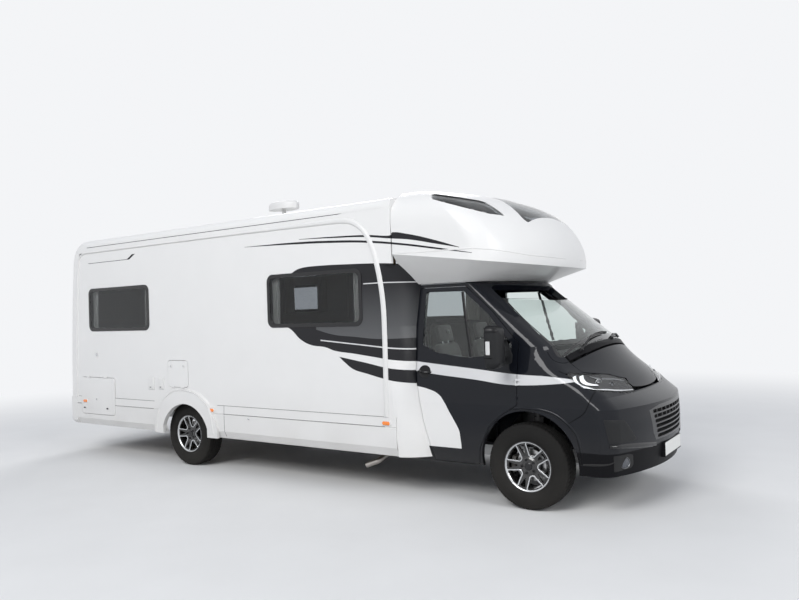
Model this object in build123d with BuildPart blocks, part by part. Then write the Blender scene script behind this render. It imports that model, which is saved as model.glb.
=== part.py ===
"""Coachbuilt motorhome on a front-drive van cab: every piece as its own solid, in millimetres.

X runs forward, Y to the vehicle's left and Z up. The origin is on the ground, under the middle
of the vehicle's length and width. Tables give x from the front axle, and heights from the ground.
"""

import os
from math import cos, hypot, radians, sin

from build123d import *

os.makedirs("parts", exist_ok=True)

# Driving dimensions of the whole vehicle
FRONT_OVERHANG = 965.0
WHEELBASE = 4320.0
REAR_OVERHANG = 2400.0
WALL_HALF_WIDTH = 1170.0
CAB_HALF_WIDTH = 1025.0
LENGTH = FRONT_OVERHANG + WHEELBASE + REAR_OVERHANG
X_FRONT_AXLE = LENGTH / 2 - FRONT_OVERHANG
X_REAR_AXLE = X_FRONT_AXLE - WHEELBASE
X_REAR = -LENGTH / 2

# Wheels and steering
TYRE_RADIUS = 372.0
TYRE_WIDTH = 225.0
FRONT_HALF_TRACK = 905.0
REAR_HALF_TRACK = 990.0
AXLE_HEIGHT = TYRE_RADIUS
HUB_BORE = 34.0
RUNNING_GAP = 0.3
SHUT_GAP = 5.0

# Coach body levels and walls
SKIRT_BOTTOM = 378.0
SKIRT_CREASE = 460.0
SKIRT_GROOVE = 652.0
SKIRT_TOP = 745.0
SKIRT_PROUD = 10.0
SKIRT_THICK = 28.0
FLOOR_BOTTOM = 600.0
FLOOR_THICK = 45.0
WALL_TOP = 2660.0
RAIL_SEAM = 2730.0
RAIL_TOP = 2825.0
WALL = 32.0
BODY_EDGE_RADIUS = 80.0
SEAT_GAP = 0.3
CAB_TOP = 1990.0
COWL_HEIGHT = 1400.0
CAB_SKIN = 45.0
CAB_SILL = 340.0

# Where pieces of the coach body end
X_POD_REAR = X_FRONT_AXLE - 1240.0
X_RAIL_REAR = X_FRONT_AXLE - 6256.0
X_PANEL_FRONT = X_FRONT_AXLE - 6500.0
X_SKIRT_FRONT = X_FRONT_AXLE - 1240.0
X_CAB_REAR = X_FRONT_AXLE - 1300.0
X_FLOOR_FRONT = X_CAB_REAR - SEAT_GAP


def at_front_axle(points):
    """Points whose x is from the front axle, in the vehicle's frame."""
    return [(X_FRONT_AXLE + x, z) for x, z in points]


def save(piece, name):
    """Labels a finished piece and writes it as one STEP file."""
    shape = piece.part
    shape.label = name
    export_step(shape, f"parts/{name}.step")


def both_sides():
    """Mirrors what the open builder holds across the middle plane."""
    mirror(about=Plane.XZ)


# A level is one outline seen from above: flanks, a bowed nose and two round corners between
def level_outline(z, x_rear, half, x_nose, x_edge, radius):
    with BuildSketch(Plane.XY.offset(z)) as level:
        with BuildLine():
            Line((x_edge, -half), (x_rear, -half))
            Line((x_rear, -half), (x_rear, half))
            Line((x_rear, half), (x_edge, half))
            ThreePointArc((x_edge, half), (x_nose, 0), (x_edge, -half))
        make_face()
        fillet(vertices().group_by(Axis.X)[-1], radius)
    return level.sketch


# Cab levels. Columns: height, half width, and from the front axle the nose on the middle line
# and the nose's edge at the flank, then the corner's radius
BUMPER_TOP = (890, CAB_HALF_WIDTH - 1, FRONT_OVERHANG - 12, 728, 180)
SHELF_TOP = (975, CAB_HALF_WIDTH - 3, FRONT_OVERHANG - 190, 650, 190)
LOWER_CAB = [
    (CAB_SILL, CAB_HALF_WIDTH - 40, FRONT_OVERHANG - 32, 698, 150),
    (470, CAB_HALF_WIDTH - 20, FRONT_OVERHANG - 14, 725, 160),
    (650, CAB_HALF_WIDTH - 8, FRONT_OVERHANG - 1.1, 743, 170),
    BUMPER_TOP,
]
NOSE_SHELF = [BUMPER_TOP, SHELF_TOP]
BONNET_LEVELS = [
    SHELF_TOP,
    (1080, CAB_HALF_WIDTH - 12, FRONT_OVERHANG - 238, 500, 200),
    (1210, CAB_HALF_WIDTH - 33, FRONT_OVERHANG - 355, 270, 200),
    (COWL_HEIGHT, CAB_HALF_WIDTH - 70, FRONT_OVERHANG - 520, 120, 150),
]
UPPER_CAB = [
    (COWL_HEIGHT, CAB_HALF_WIDTH - 70, FRONT_OVERHANG - 520, 120, 150),
    (1700, CAB_HALF_WIDTH - 117, FRONT_OVERHANG - 898, -230, 130),
    (CAB_TOP, CAB_HALF_WIDTH - 167, FRONT_OVERHANG - 1255, -560, 110),
]
NOSE_INSET = 1.35


def level_loft(rows, x_rear, inset=0.0, top=None, bottom=None, ruled=False):
    """A loft through level outlines. The inset shrinks every outline, and top and bottom move
    the end levels for an inner shape."""
    with BuildPart() as body:
        for i, (z, half, x_nose, x_edge, radius) in enumerate(rows):
            height = z
            if i == 0 and bottom is not None:
                height = bottom
            if i == len(rows) - 1 and top is not None:
                height = top
            nose = X_FRONT_AXLE + x_nose - NOSE_INSET * inset
            edge = X_FRONT_AXLE + x_edge - NOSE_INSET * inset
            add(level_outline(height, x_rear, half - inset, nose, edge, radius - inset))
        loft(ruled=ruled)
    return body.part


def lower_cab(x_rear, inset=0.0, bottom=None):
    """The cab below the cowl: bumper and flanks, the shelf over the bumper, and the bonnet."""
    with BuildPart() as body:
        add(level_loft(LOWER_CAB, x_rear, inset=inset, bottom=bottom))
        add(level_loft(NOSE_SHELF, x_rear, inset=inset, ruled=True))
        add(level_loft(BONNET_LEVELS, x_rear, inset=inset))
    return body.part


GLASS_SET_IN = 8.0
GLASS = 6.0


def side_prism(points, half_in=0.0, half_out=WALL_HALF_WIDTH + 100.0, radius=0.0, outlines=0.0):
    """A prism whose outline is seen from the side, on both sides of the vehicle, from one half
    width to another. Outlines grows or shrinks its outline."""
    with BuildPart() as prism:
        with BuildSketch(Plane.XZ.offset(half_in)):
            Polygon(*at_front_axle(points), align=None)
            if radius:
                fillet(vertices(), radius)
            if outlines:
                offset(amount=outlines, kind=Kind.INTERSECTION, mode=Mode.REPLACE)
        extrude(amount=half_out - half_in)
        both_sides()
    return prism.part


def right_block(points, half_in, half_out, radius=0.0):
    """A block on the right side only, with its outline seen from the side."""
    with BuildPart() as block:
        with BuildSketch(Plane.XZ.offset(half_in)):
            Polygon(*at_front_axle(points), align=None)
            if radius:
                fillet(vertices(), radius)
        extrude(amount=half_out - half_in)
    return block.part


def window_outline(window, grow=0.0):
    """The corner points of a window: x from the front axle at its rear and front, and heights."""
    x_rear, x_front, z_low, z_high = window
    return [
        (x_rear - grow, z_low - grow),
        (x_front + grow, z_low - grow),
        (x_front + grow, z_high + grow),
        (x_rear - grow, z_high + grow),
    ]


def cross_block(outline, x_low, x_high):
    """A prism along the vehicle. Its outline gives half widths from the middle, and heights."""
    with BuildPart() as block:
        with BuildSketch(Plane.YZ.offset(x_low)):
            Polygon(*outline, align=None)
        extrude(amount=x_high - x_low)
    return block.part


def box_between(low, high):
    """A plain box between two corners of the vehicle's frame."""
    with BuildPart() as block:
        with BuildSketch(Plane.XY.offset(low[2])):
            with Locations(((low[0] + high[0]) / 2, (low[1] + high[1]) / 2)):
                Rectangle(high[0] - low[0], high[1] - low[1])
        extrude(amount=high[2] - low[2])
    return block.part


# The coach body's outer form, seen from the side: rear panel leaning forward, round top corner
REAR_PANEL = [(-6678, FLOOR_BOTTOM), (-6652, 1632), (-6585, 2450)]
REAR_TOP_RADIUS = 290.0


def coach_block(inset):
    """The coach body's outer form, or its inside when inset by the wall's thickness."""
    foot, middle, brow = at_front_axle(REAR_PANEL)
    with BuildPart() as block:
        with BuildSketch(Plane.XZ.offset(-(WALL_HALF_WIDTH - inset))):
            with BuildLine():
                back = ThreePointArc(foot, middle, brow)
                lean = back % 1
                rise = (RAIL_TOP - (back @ 1).Y) / lean.Y
                corner = (back @ 1) + lean * rise
                Line(back @ 1, corner)
                Line(corner, (X_POD_REAR, RAIL_TOP))
                Line((X_POD_REAR, RAIL_TOP), (X_POD_REAR, FLOOR_BOTTOM))
                Line((X_POD_REAR, FLOOR_BOTTOM), foot)
            make_face()
            fillet(vertices().sort_by(Axis.Y)[-2:].sort_by(Axis.X)[0], REAR_TOP_RADIUS)
            if inset:
                offset(amount=-inset, kind=Kind.INTERSECTION, mode=Mode.REPLACE)
        extrude(amount=2 * (WALL_HALF_WIDTH - inset))
        sides = faces().sort_by(Axis.Y)
        rounded = ShapeList()
        for flank in (sides[0], sides[-1]):
            for edge in flank.edges():
                middle_point = edge @ 0.5
                low_edge = middle_point.Z < FLOOR_BOTTOM + inset + 1
                front_edge = middle_point.X > X_POD_REAR - inset - 1
                if not low_edge and not front_edge:
                    rounded.append(edge)
        fillet(rounded, BODY_EDGE_RADIUS - inset)
    return block.part


coach_outer = coach_block(0.0)
coach_inner = coach_block(WALL)

# The side wall's field inside the body mouldings. Columns: x from the front axle, height
WALL_FIELD = [(-6502, FLOOR_BOTTOM), (-6476, 1632), (-6385, WALL_TOP),
              (-1337, WALL_TOP), (-1337, 1600), (-1246, FLOOR_BOTTOM)]
FIELD_REAR_RADIUS = 110.0
FIELD_FRONT_RADIUS = 470.0


def wall_field(half_in, half_out):
    """The side wall's field as a right-hand prism, with its two rounded top corners."""
    with BuildPart() as field:
        with BuildSketch(Plane.XZ.offset(half_in)):
            Polygon(*at_front_axle(WALL_FIELD), align=None)
            corners = vertices().sort_by(Axis.Y)[-2:].sort_by(Axis.X)
            fillet(corners[0], FIELD_REAR_RADIUS)
            fillet(vertices().sort_by(Axis.X).filter_by(lambda v: v.Y > WALL_TOP - 1)[-1], FIELD_FRONT_RADIUS)
        extrude(amount=half_out - half_in)
    return field.part


# Windows of the coach body. Columns: x at the rear and the front edge, lower and upper height
RIGHT_WINDOWS = [(-6174, -4918, 1624, 2168), (-2866, -1610, 1624, 2168)]
LEFT_WINDOWS = [(-6174, -4918, 1624, 2168), (-4740, -4040, 1790, 2168), (-2866, -1610, 1624, 2168)]
WINDOW_RADIUS = 70.0
WINDOW_FRAME = 30.0
FRAME_PROUD = 6.0
FRAME_INWARD = 8.0
PANE_HALF = 4.0

# Doors and lids of the coach body, by the same columns
RIGHT_LOCKER = (-6390, -5650, 525, 1004)
RIGHT_HATCH = (-4575, -4210, 933, 1245)
LEFT_GAS_LOCKER = (-5600, -5050, 690, 1000)
ENTRY_DOOR = (-3625, -3025, 640, 2440)
ENTRY_WINDOW = (-3480, -3170, 1560, 2150)
DOOR_RADIUS = 45.0

# How far doors and lids stand proud of the wall
ENTRY_PROUD = 7.0
LOCKER_PROUD = 12.0
HATCH_PROUD = 4.0

# Butt hinges: a pin through one moving knuckle between two fixed ones
PIN_RADIUS = 3.5
PIN_CLEARANCE = 0.05
KNUCKLE_RADIUS = 6.0
KNUCKLE_GAP = 0.5
HINGE_STAND_OFF = 7.0
HINGE_LENGTH = 60.0
LEAF_THICK = 4.0
LEAF_REACH = 29.0


def hinge(pivot, along, to_fixed, to_moving, reach):
    """A butt hinge at a pivot: its fixed half with the pin, and its moving half. The leaves run
    from the pivot in the two given directions."""
    third = HINGE_LENGTH / 3
    fixed_plane = Plane(origin=pivot, x_dir=to_fixed, z_dir=along)
    moving_plane = Plane(origin=pivot, x_dir=to_moving, z_dir=along)
    with BuildPart() as fixed:
        for start in (-HINGE_LENGTH / 2, third / 2):
            with BuildSketch(fixed_plane.offset(start)):
                Circle(KNUCKLE_RADIUS)
                with Locations((reach / 2, 0)):
                    Rectangle(reach, LEAF_THICK)
            extrude(amount=third)
        with BuildSketch(fixed_plane.offset(-HINGE_LENGTH / 2)):
            Circle(PIN_RADIUS)
        extrude(amount=HINGE_LENGTH)
    with BuildPart() as moving:
        with BuildSketch(moving_plane.offset(-third / 2 + KNUCKLE_GAP)):
            Circle(KNUCKLE_RADIUS)
            with Locations((reach / 2, 0)):
                Rectangle(reach, LEAF_THICK)
            Circle(PIN_RADIUS + PIN_CLEARANCE, mode=Mode.SUBTRACT)
        extrude(amount=third - 2 * KNUCKLE_GAP)
    return fixed.part, moving.part


def lid_hinges(opening, proud, rise):
    """Two hinges on a right-hand lid's top edge (rise 1) or bottom edge (rise -1)."""
    x_rear, x_front, z_low, z_high = opening
    z = (z_high if rise > 0 else z_low) + rise * SHUT_GAP / 2
    y = -(WALL_HALF_WIDTH + proud + HINGE_STAND_OFF)
    quarter = (x_front - x_rear) / 4
    return [
        hinge((X_FRONT_AXLE + x, y, z), (1, 0, 0), (0, 0.8, 0.6 * rise), (0, 0.6, -0.8 * rise), LEAF_REACH)
        for x in (x_rear + quarter, x_front - quarter)
    ]


ENTRY_HINGES = [800.0, 1500.0, 2300.0]
ENTRY_HINGE_X = X_FRONT_AXLE + ENTRY_DOOR[1] + SHUT_GAP / 2
ENTRY_HINGE_Y = WALL_HALF_WIDTH + ENTRY_PROUD + HINGE_STAND_OFF
locker_hinges = lid_hinges(RIGHT_LOCKER, LOCKER_PROUD, 1)
hatch_hinges = lid_hinges(RIGHT_HATCH, HATCH_PROUD, -1)
gas_hinges = lid_hinges(LEFT_GAS_LOCKER, LOCKER_PROUD, 1)
entry_hinges = [
    hinge((ENTRY_HINGE_X, -ENTRY_HINGE_Y, z), (0, 0, 1), (0.8, 0.6, 0), (-0.8, 0.6, 0), LEAF_REACH)
    for z in ENTRY_HINGES
]

# Rear wheel arch, seen from the side, on its centre line from the front axle
ARCH_CENTRE = -4256.0
ARCH_HALF_OPENING = 392.0
ARCH_OPENING_TOP = 742.0
ARCH_HALF_FLARE = 560.0
ARCH_FLARE_TOP = 907.0
ARCH_FLARE_PROUD = 24.0


def arch_prism(half_opening, top, half_in, half_out):
    """A rear wheel arch's outline as a prism on both sides: a low arc on two short uprights."""
    shoulder = SKIRT_BOTTOM + 100
    left, right = X_FRONT_AXLE + ARCH_CENTRE - half_opening, X_FRONT_AXLE + ARCH_CENTRE + half_opening
    with BuildPart() as prism:
        with BuildSketch(Plane.XZ.offset(half_in)):
            with BuildLine():
                Line((left, SKIRT_BOTTOM - 50), (left, shoulder))
                ThreePointArc((left, shoulder), ((left + right) / 2, top), (right, shoulder))
                Line((right, shoulder), (right, SKIRT_BOTTOM - 50))
                Line((right, SKIRT_BOTTOM - 50), (left, SKIRT_BOTTOM - 50))
            make_face()
        extrude(amount=half_out - half_in)
        both_sides()
    return prism.part


def side_wall(name, side, windows, doors, hinges):
    """One side wall: the master's skin inside the mouldings, with its windows and doors cut and
    its hinges' fixed halves."""
    with BuildPart() as wall:
        add(coach_outer)
        add(coach_inner, mode=Mode.SUBTRACT)
        add(wall_field(WALL_HALF_WIDTH - WALL, WALL_HALF_WIDTH + 10), mode=Mode.INTERSECT)
        for window in windows:
            opening = right_block(window_outline(window), WALL_HALF_WIDTH - 60, WALL_HALF_WIDTH + 20, WINDOW_RADIUS)
            add(opening, mode=Mode.SUBTRACT)
        for door in doors:
            opening = right_block(
                window_outline(door, SHUT_GAP), WALL_HALF_WIDTH - 60, WALL_HALF_WIDTH + 20, DOOR_RADIUS + SHUT_GAP
            )
            add(opening, mode=Mode.SUBTRACT)
        add(arch_prism(ARCH_HALF_OPENING, ARCH_OPENING_TOP, WALL_HALF_WIDTH - 60, WALL_HALF_WIDTH + 20),
            mode=Mode.SUBTRACT)
        for fixed, _ in hinges:
            add(fixed)
        if side > 0:
            mirror(about=Plane.XZ, mode=Mode.REPLACE)
    save(wall, name)


side_wall("wall_right", -1, RIGHT_WINDOWS, [RIGHT_LOCKER, RIGHT_HATCH], locker_hinges + hatch_hinges)
side_wall("wall_left", 1, LEFT_WINDOWS, [LEFT_GAS_LOCKER, ENTRY_DOOR], gas_hinges + entry_hinges)

# Rear panel: all of the skin behind the side walls' rear moulding
with BuildPart() as rear_panel:
    add(coach_outer)
    add(coach_inner, mode=Mode.SUBTRACT)
    for flip in (-1, 1):
        field = wall_field(WALL_HALF_WIDTH - WALL - 100, WALL_HALF_WIDTH + 10)
        add(field if flip < 0 else field.mirror(Plane.XZ), mode=Mode.SUBTRACT)
    keep = [(-6700, FLOOR_BOTTOM - 10), (-6501, FLOOR_BOTTOM - 10), (-6475, 1632), (-6384, WALL_TOP),
            (-6256, WALL_TOP + 5), (-6256, RAIL_TOP + 10), (-6700, RAIL_TOP + 10)]
    add(side_prism(keep, 0, WALL_HALF_WIDTH + 20), mode=Mode.INTERSECT)
save(rear_panel, "rear_panel")

# Roof skin between the rails, and the rails with their seam groove
ROOF_HALF_WIDTH = 1085.0
ROOFLIGHTS = [(-5480, 400, 400), (-2250, 700, 500)]
ROOFLIGHT_UPSTAND = 28.0
with BuildPart() as roof:
    add(coach_outer)
    add(coach_inner, mode=Mode.SUBTRACT)
    add(
        box_between((X_RAIL_REAR, -ROOF_HALF_WIDTH, RAIL_TOP - WALL - 1), (X_POD_REAR, ROOF_HALF_WIDTH, RAIL_TOP + 1)),
        mode=Mode.INTERSECT,
    )
    for x, length, width in ROOFLIGHTS:
        with BuildSketch(Plane.XY.offset(RAIL_TOP - WALL)):
            with Locations((X_FRONT_AXLE + x, 0)):
                RectangleRounded(length + 60, width + 60, 40)
        extrude(amount=WALL + ROOFLIGHT_UPSTAND)
        with BuildSketch(Plane.XY.offset(RAIL_TOP - WALL - 1)):
            with Locations((X_FRONT_AXLE + x, 0)):
                RectangleRounded(length, width, 30)
        extrude(amount=WALL + ROOFLIGHT_UPSTAND + 2, mode=Mode.SUBTRACT)
save(roof, "roof")

rail_region = [(-6256, WALL_TOP - 500), (-1240, WALL_TOP - 500), (-1240, RAIL_TOP + 5), (-6256, RAIL_TOP + 5)]
POD_SIDE_REAR = -1840.0
pod_side_region = [(POD_SIDE_REAR, FLOOR_BOTTOM), (-1240, FLOOR_BOTTOM), (-1240, RAIL_SEAM), (POD_SIDE_REAR, RAIL_SEAM)]
with BuildPart() as roof_rails:
    add(coach_outer)
    add(coach_inner, mode=Mode.SUBTRACT)
    add(side_prism(rail_region, ROOF_HALF_WIDTH, WALL_HALF_WIDTH + 10), mode=Mode.INTERSECT)
    for flip in (-1, 1):
        field = wall_field(WALL_HALF_WIDTH - WALL - 100, WALL_HALF_WIDTH + 10)
        add(field if flip < 0 else field.mirror(Plane.XZ), mode=Mode.SUBTRACT)
    add(side_prism(pod_side_region, ROOF_HALF_WIDTH - 50, WALL_HALF_WIDTH + 10), mode=Mode.SUBTRACT)
    below = [(-6300, FLOOR_BOTTOM), (-1200, FLOOR_BOTTOM), (-1200, WALL_TOP), (-6300, WALL_TOP)]
    add(side_prism(below, ROOF_HALF_WIDTH - 50, WALL_HALF_WIDTH + 10), mode=Mode.SUBTRACT)
save(roof_rails, "roof_rails")

# Skirts: a hung moulding with a groove and a tucked lower edge, fused with the arch flares
SKIRT_FACE = WALL_HALF_WIDTH + SKIRT_PROUD
SKIRT_TUCK = 45.0
SKIRT_DOOR_GAP = 12.0
GROOVE_DEPTH = 7.0
SKIRT_SECTION = [
    (WALL_HALF_WIDTH + SEAT_GAP, SKIRT_TOP),
    (SKIRT_FACE - 4, SKIRT_TOP),
    (SKIRT_FACE, SKIRT_GROOVE + 6),
    (SKIRT_FACE - GROOVE_DEPTH, SKIRT_GROOVE),
    (SKIRT_FACE, SKIRT_GROOVE - 6),
    (SKIRT_FACE - 2, SKIRT_CREASE),
    (SKIRT_FACE - SKIRT_TUCK, SKIRT_BOTTOM),
    (SKIRT_FACE - SKIRT_TUCK - 14, SKIRT_BOTTOM),
    (SKIRT_FACE - SKIRT_THICK, SKIRT_CREASE + 4),
    (SKIRT_FACE - SKIRT_THICK, FLOOR_BOTTOM - SEAT_GAP),
    (WALL_HALF_WIDTH + SEAT_GAP, FLOOR_BOTTOM - SEAT_GAP),
]
with BuildPart() as skirts:
    with BuildSketch(Plane.YZ.offset(X_PANEL_FRONT)):
        Polygon(*SKIRT_SECTION, align=None)
    extrude(amount=X_SKIRT_FRONT - X_PANEL_FRONT)
    both_sides()
    add(arch_prism(ARCH_HALF_FLARE, ARCH_FLARE_TOP, WALL_HALF_WIDTH + SEAT_GAP, SKIRT_FACE + ARCH_FLARE_PROUD))
    add(arch_prism(ARCH_HALF_OPENING, ARCH_OPENING_TOP, WALL_HALF_WIDTH - 60, SKIRT_FACE + 60), mode=Mode.SUBTRACT)
    low = box_between((X_REAR, -WALL_HALF_WIDTH * 2, 0), (-X_REAR, WALL_HALF_WIDTH * 2, SKIRT_BOTTOM))
    add(low, mode=Mode.SUBTRACT)
    for opening, radius in ((RIGHT_LOCKER, DOOR_RADIUS), (RIGHT_HATCH, DOOR_RADIUS)):
        add(right_block(window_outline(opening, SHUT_GAP), WALL_HALF_WIDTH - 60, SKIRT_FACE + 60, radius + SHUT_GAP),
            mode=Mode.SUBTRACT)
    for opening, gap in ((LEFT_GAS_LOCKER, SHUT_GAP), (ENTRY_DOOR, SKIRT_DOOR_GAP)):
        add(right_block(window_outline(opening, gap), WALL_HALF_WIDTH - 60, SKIRT_FACE + 60, DOOR_RADIUS + gap)
            .mirror(Plane.XZ), mode=Mode.SUBTRACT)
save(skirts, "skirts")

# Rear bumper: a moulding that wraps both rear corners below the rear panel
BUMPER_CORNER = 130.0
BUMPER_FACE = X_REAR
BUMPER_THICK = 38.0


def bumper_plan(x_rear, half_width, radius, z_low, z_high):
    """A block with two round rear corners, from the bumper's face to the skirts' rear ends."""
    with BuildPart() as block:
        with BuildSketch(Plane.XY.offset(z_low)):
            with Locations((x_rear, 0)):
                Rectangle(X_PANEL_FRONT - SEAT_GAP - x_rear, 2 * half_width, align=(Align.MIN, Align.CENTER))
            fillet(vertices().group_by(Axis.X)[0], radius)
        extrude(amount=z_high - z_low)
    return block.part


with BuildPart() as rear_bumper:
    add(bumper_plan(BUMPER_FACE, SKIRT_FACE, BUMPER_CORNER, SKIRT_BOTTOM, SKIRT_TOP))
    chamfer(faces().sort_by(Axis.Z)[-1].edges().filter_by(lambda e: (e @ 0.5).X < X_PANEL_FRONT - 5), 12)
    chamfer(faces().sort_by(Axis.Z)[0].edges().filter_by(lambda e: (e @ 0.5).X < X_PANEL_FRONT - 5), SKIRT_TUCK)
    rear_inner = coach_outer.bounding_box().min.X - SEAT_GAP
    add(bumper_plan(rear_inner, WALL_HALF_WIDTH + SEAT_GAP, BODY_EDGE_RADIUS, FLOOR_BOTTOM - SEAT_GAP, SKIRT_TOP + 1),
        mode=Mode.SUBTRACT)
    add(bumper_plan(BUMPER_FACE + BUMPER_THICK, SKIRT_FACE - SKIRT_THICK, BUMPER_CORNER - SKIRT_THICK,
                    SKIRT_CREASE, FLOOR_BOTTOM), mode=Mode.SUBTRACT)
    add(bumper_plan(BUMPER_FACE + BUMPER_THICK + SKIRT_TUCK, SKIRT_FACE - SKIRT_THICK - SKIRT_TUCK, 60.0,
                    SKIRT_BOTTOM - 1, SKIRT_CREASE + 1), mode=Mode.SUBTRACT)
save(rear_bumper, "rear_bumper")

# Coach floor with its two wheel boxes and a lowered tray behind the locker door
WHEEL_BOX_IN = 800.0
WHEEL_BOX_TOP = 830.0
FLOOR_SIDE = WALL_HALF_WIDTH - WALL
TRAY_HALF_IN = 480.0
with BuildPart() as coach_floor:
    add(box_between((X_PANEL_FRONT + 1, -FLOOR_SIDE, FLOOR_BOTTOM),
                    (X_FLOOR_FRONT, FLOOR_SIDE, FLOOR_BOTTOM + FLOOR_THICK)))
    for flip in (-1, 1):
        y_low, y_high = sorted((flip * WHEEL_BOX_IN, flip * FLOOR_SIDE))
        add(box_between((X_REAR_AXLE - 440, y_low, FLOOR_BOTTOM), (X_REAR_AXLE + 440, y_high, WHEEL_BOX_TOP)))
    for flip in (-1, 1):
        y_low, y_high = sorted((flip * (WHEEL_BOX_IN + 20), flip * (FLOOR_SIDE + 20)))
        add(box_between((X_REAR_AXLE - 420, y_low, 0), (X_REAR_AXLE + 420, y_high, WHEEL_BOX_TOP - 20)),
            mode=Mode.SUBTRACT)
    add(box_between((RIGHT_LOCKER[0] + X_FRONT_AXLE - 20, -FLOOR_SIDE, RIGHT_LOCKER[2] - 25),
                    (RIGHT_LOCKER[1] + X_FRONT_AXLE + 20, -TRAY_HALF_IN, FLOOR_BOTTOM)))
    add(box_between((RIGHT_LOCKER[0] + X_FRONT_AXLE, -FLOOR_SIDE - 10, RIGHT_LOCKER[2] - 5),
                    (RIGHT_LOCKER[1] + X_FRONT_AXLE, -TRAY_HALF_IN - 20, FLOOR_BOTTOM + FLOOR_THICK + 1)), mode=Mode.SUBTRACT)
save(coach_floor, "coach_floor")

# Overcab pod. Columns: half width, and from the front axle the nose on the middle line and the
# nose's edge at the flank, the corner's radius, height at the nose, rise of the level over one
# metre rearwards, and how far the inside's level moves up, as a share of the skin
POD_CREASE = (1166, 98, -300, 300, 2112, 0.13, 0.5)
POD_FOOT = (880, -330, -560, 180, 1998, 0.0, 1.0)
POD_LEVELS = [
    POD_CREASE,
    (1170, 46, -358, 300, 2400, 0.10, -0.2),
    (1152, -145, -530, 290, 2640, 0.05, -0.6),
    (1062, -435, -770, 260, 2800, 0.015, -1.0),
    (930, -790, -1010, 200, 2882, 0.0, -1.0),
]
POD_SKIN = 32.0


def pod_level(row, inset):
    """One outline of the pod, seen from above, on a plane that may rise to the rear."""
    half, x_nose, x_edge, radius, z_nose, rise, lift = row
    origin = (X_FRONT_AXLE + x_nose, 0, z_nose + lift * inset)
    tilted = Plane(origin=origin, x_dir=(1, 0, -rise), z_dir=(rise, 0, 1))
    x_rear = X_POD_REAR - X_FRONT_AXLE - x_nose - (10 if inset else 0)
    edge = x_edge - x_nose - inset
    with BuildSketch(tilted) as level:
        with BuildLine():
            Line((edge, -(half - inset)), (x_rear, -(half - inset)))
            Line((x_rear, -(half - inset)), (x_rear, half - inset))
            Line((x_rear, half - inset), (edge, half - inset))
            ThreePointArc((edge, half - inset), (-inset, 0), (edge, -(half - inset)))
        make_face()
        fillet(vertices().sort_by(Axis.X)[-2:], radius - inset)
    return level.sketch


def pod_loft(inset):
    """The pod's outer form, or its inside when inset."""
    with BuildPart() as upper:
        for row in POD_LEVELS:
            add(pod_level(row, inset))
        loft()
    with BuildPart() as body:
        for row in (POD_FOOT, POD_CREASE):
            add(pod_level(row, inset))
        loft(ruled=True)
        add(upper.part)
    return body.part


pod_outer = pod_loft(0.0)
pod_inner = pod_loft(POD_SKIN)

# Pod windows. The side slivers are seen from the side, the skylight from above
SLIVER = [(-880, 2835), (-480, 2744), (-253, 2655), (-130, 2560), (-316, 2592), (-806, 2762)]
SLIVER_HALF_IN = 780.0
SKYLIGHT = [(-560, 420), (-250, 560), (-110, 600), (-110, -600), (-250, -560), (-560, -420)]
POD_PANE = 10.0


def skylight_prism(grow, z_low=2300.0, z_high=2950.0):
    """The skylight's outline, seen from above, as a prism through the pod's front."""
    with BuildPart() as prism:
        with BuildSketch(Plane.XY.offset(z_low)):
            Polygon(*[(X_FRONT_AXLE + x, y) for x, y in SKYLIGHT], align=None)
            fillet(vertices(), 45)
            if grow:
                offset(amount=grow, kind=Kind.INTERSECTION, mode=Mode.REPLACE)
        extrude(amount=z_high - z_low)
    return prism.part


pod_floor_hole = box_between((X_POD_REAR - 20, -700, 1900), (X_FRONT_AXLE - 640, 700, 2400))
with BuildPart() as overcab_pod:
    add(pod_outer)
    add(pod_inner, mode=Mode.SUBTRACT)
    add(side_prism(SLIVER, SLIVER_HALF_IN, WALL_HALF_WIDTH + 40, radius=12), mode=Mode.SUBTRACT)
    add(skylight_prism(0), mode=Mode.SUBTRACT)
    add(pod_floor_hole, mode=Mode.SUBTRACT)
    rear_slab = box_between((0, -2000, 0), (X_POD_REAR + SEAT_GAP, 2000, 3000))
    add(rear_slab, mode=Mode.SUBTRACT)
save(overcab_pod, "overcab_pod")

# Cab master form
cab_lower_outer = lower_cab(X_CAB_REAR)
cab_upper_outer = level_loft(UPPER_CAB, X_CAB_REAR)
cab_lower_inner = lower_cab(X_CAB_REAR - 10, inset=CAB_SKIN, bottom=CAB_SILL - 20)
cab_upper_inner = level_loft(UPPER_CAB, X_CAB_REAR - 10, inset=CAB_SKIN, top=CAB_TOP - 30)
with BuildPart() as cab_skin_block:
    add(cab_lower_outer)
    add(cab_upper_outer)
    add(cab_lower_inner, mode=Mode.SUBTRACT)
    add(cab_upper_inner, mode=Mode.SUBTRACT)
cab_skin = cab_skin_block.part

# Cheeks: the coach narrows to the cab. Columns: height, door's edge, half width there, bulge of
# the curve from the wall. Edges are x from the front axle
CHEEK_LEVELS = [
    (SKIRT_BOTTOM, -962, 985, 30),
    (620, -1018, 1010, 32),
    (1095, -1108, 1018, 34),
    (1600, -1142, 925, 34),
    (2030, -1116, 850, 30),
    (2400, -1120, 1000, 20),
]


def wall_edge(z):
    """The side wall's front edge at a height, x from the front axle."""
    (x_high, z_high), (x_low, z_low) = WALL_FIELD[4], WALL_FIELD[5]
    return x_high if z > z_high else x_low + (x_high - x_low) * (z - z_low) / (z_high - z_low)


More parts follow.
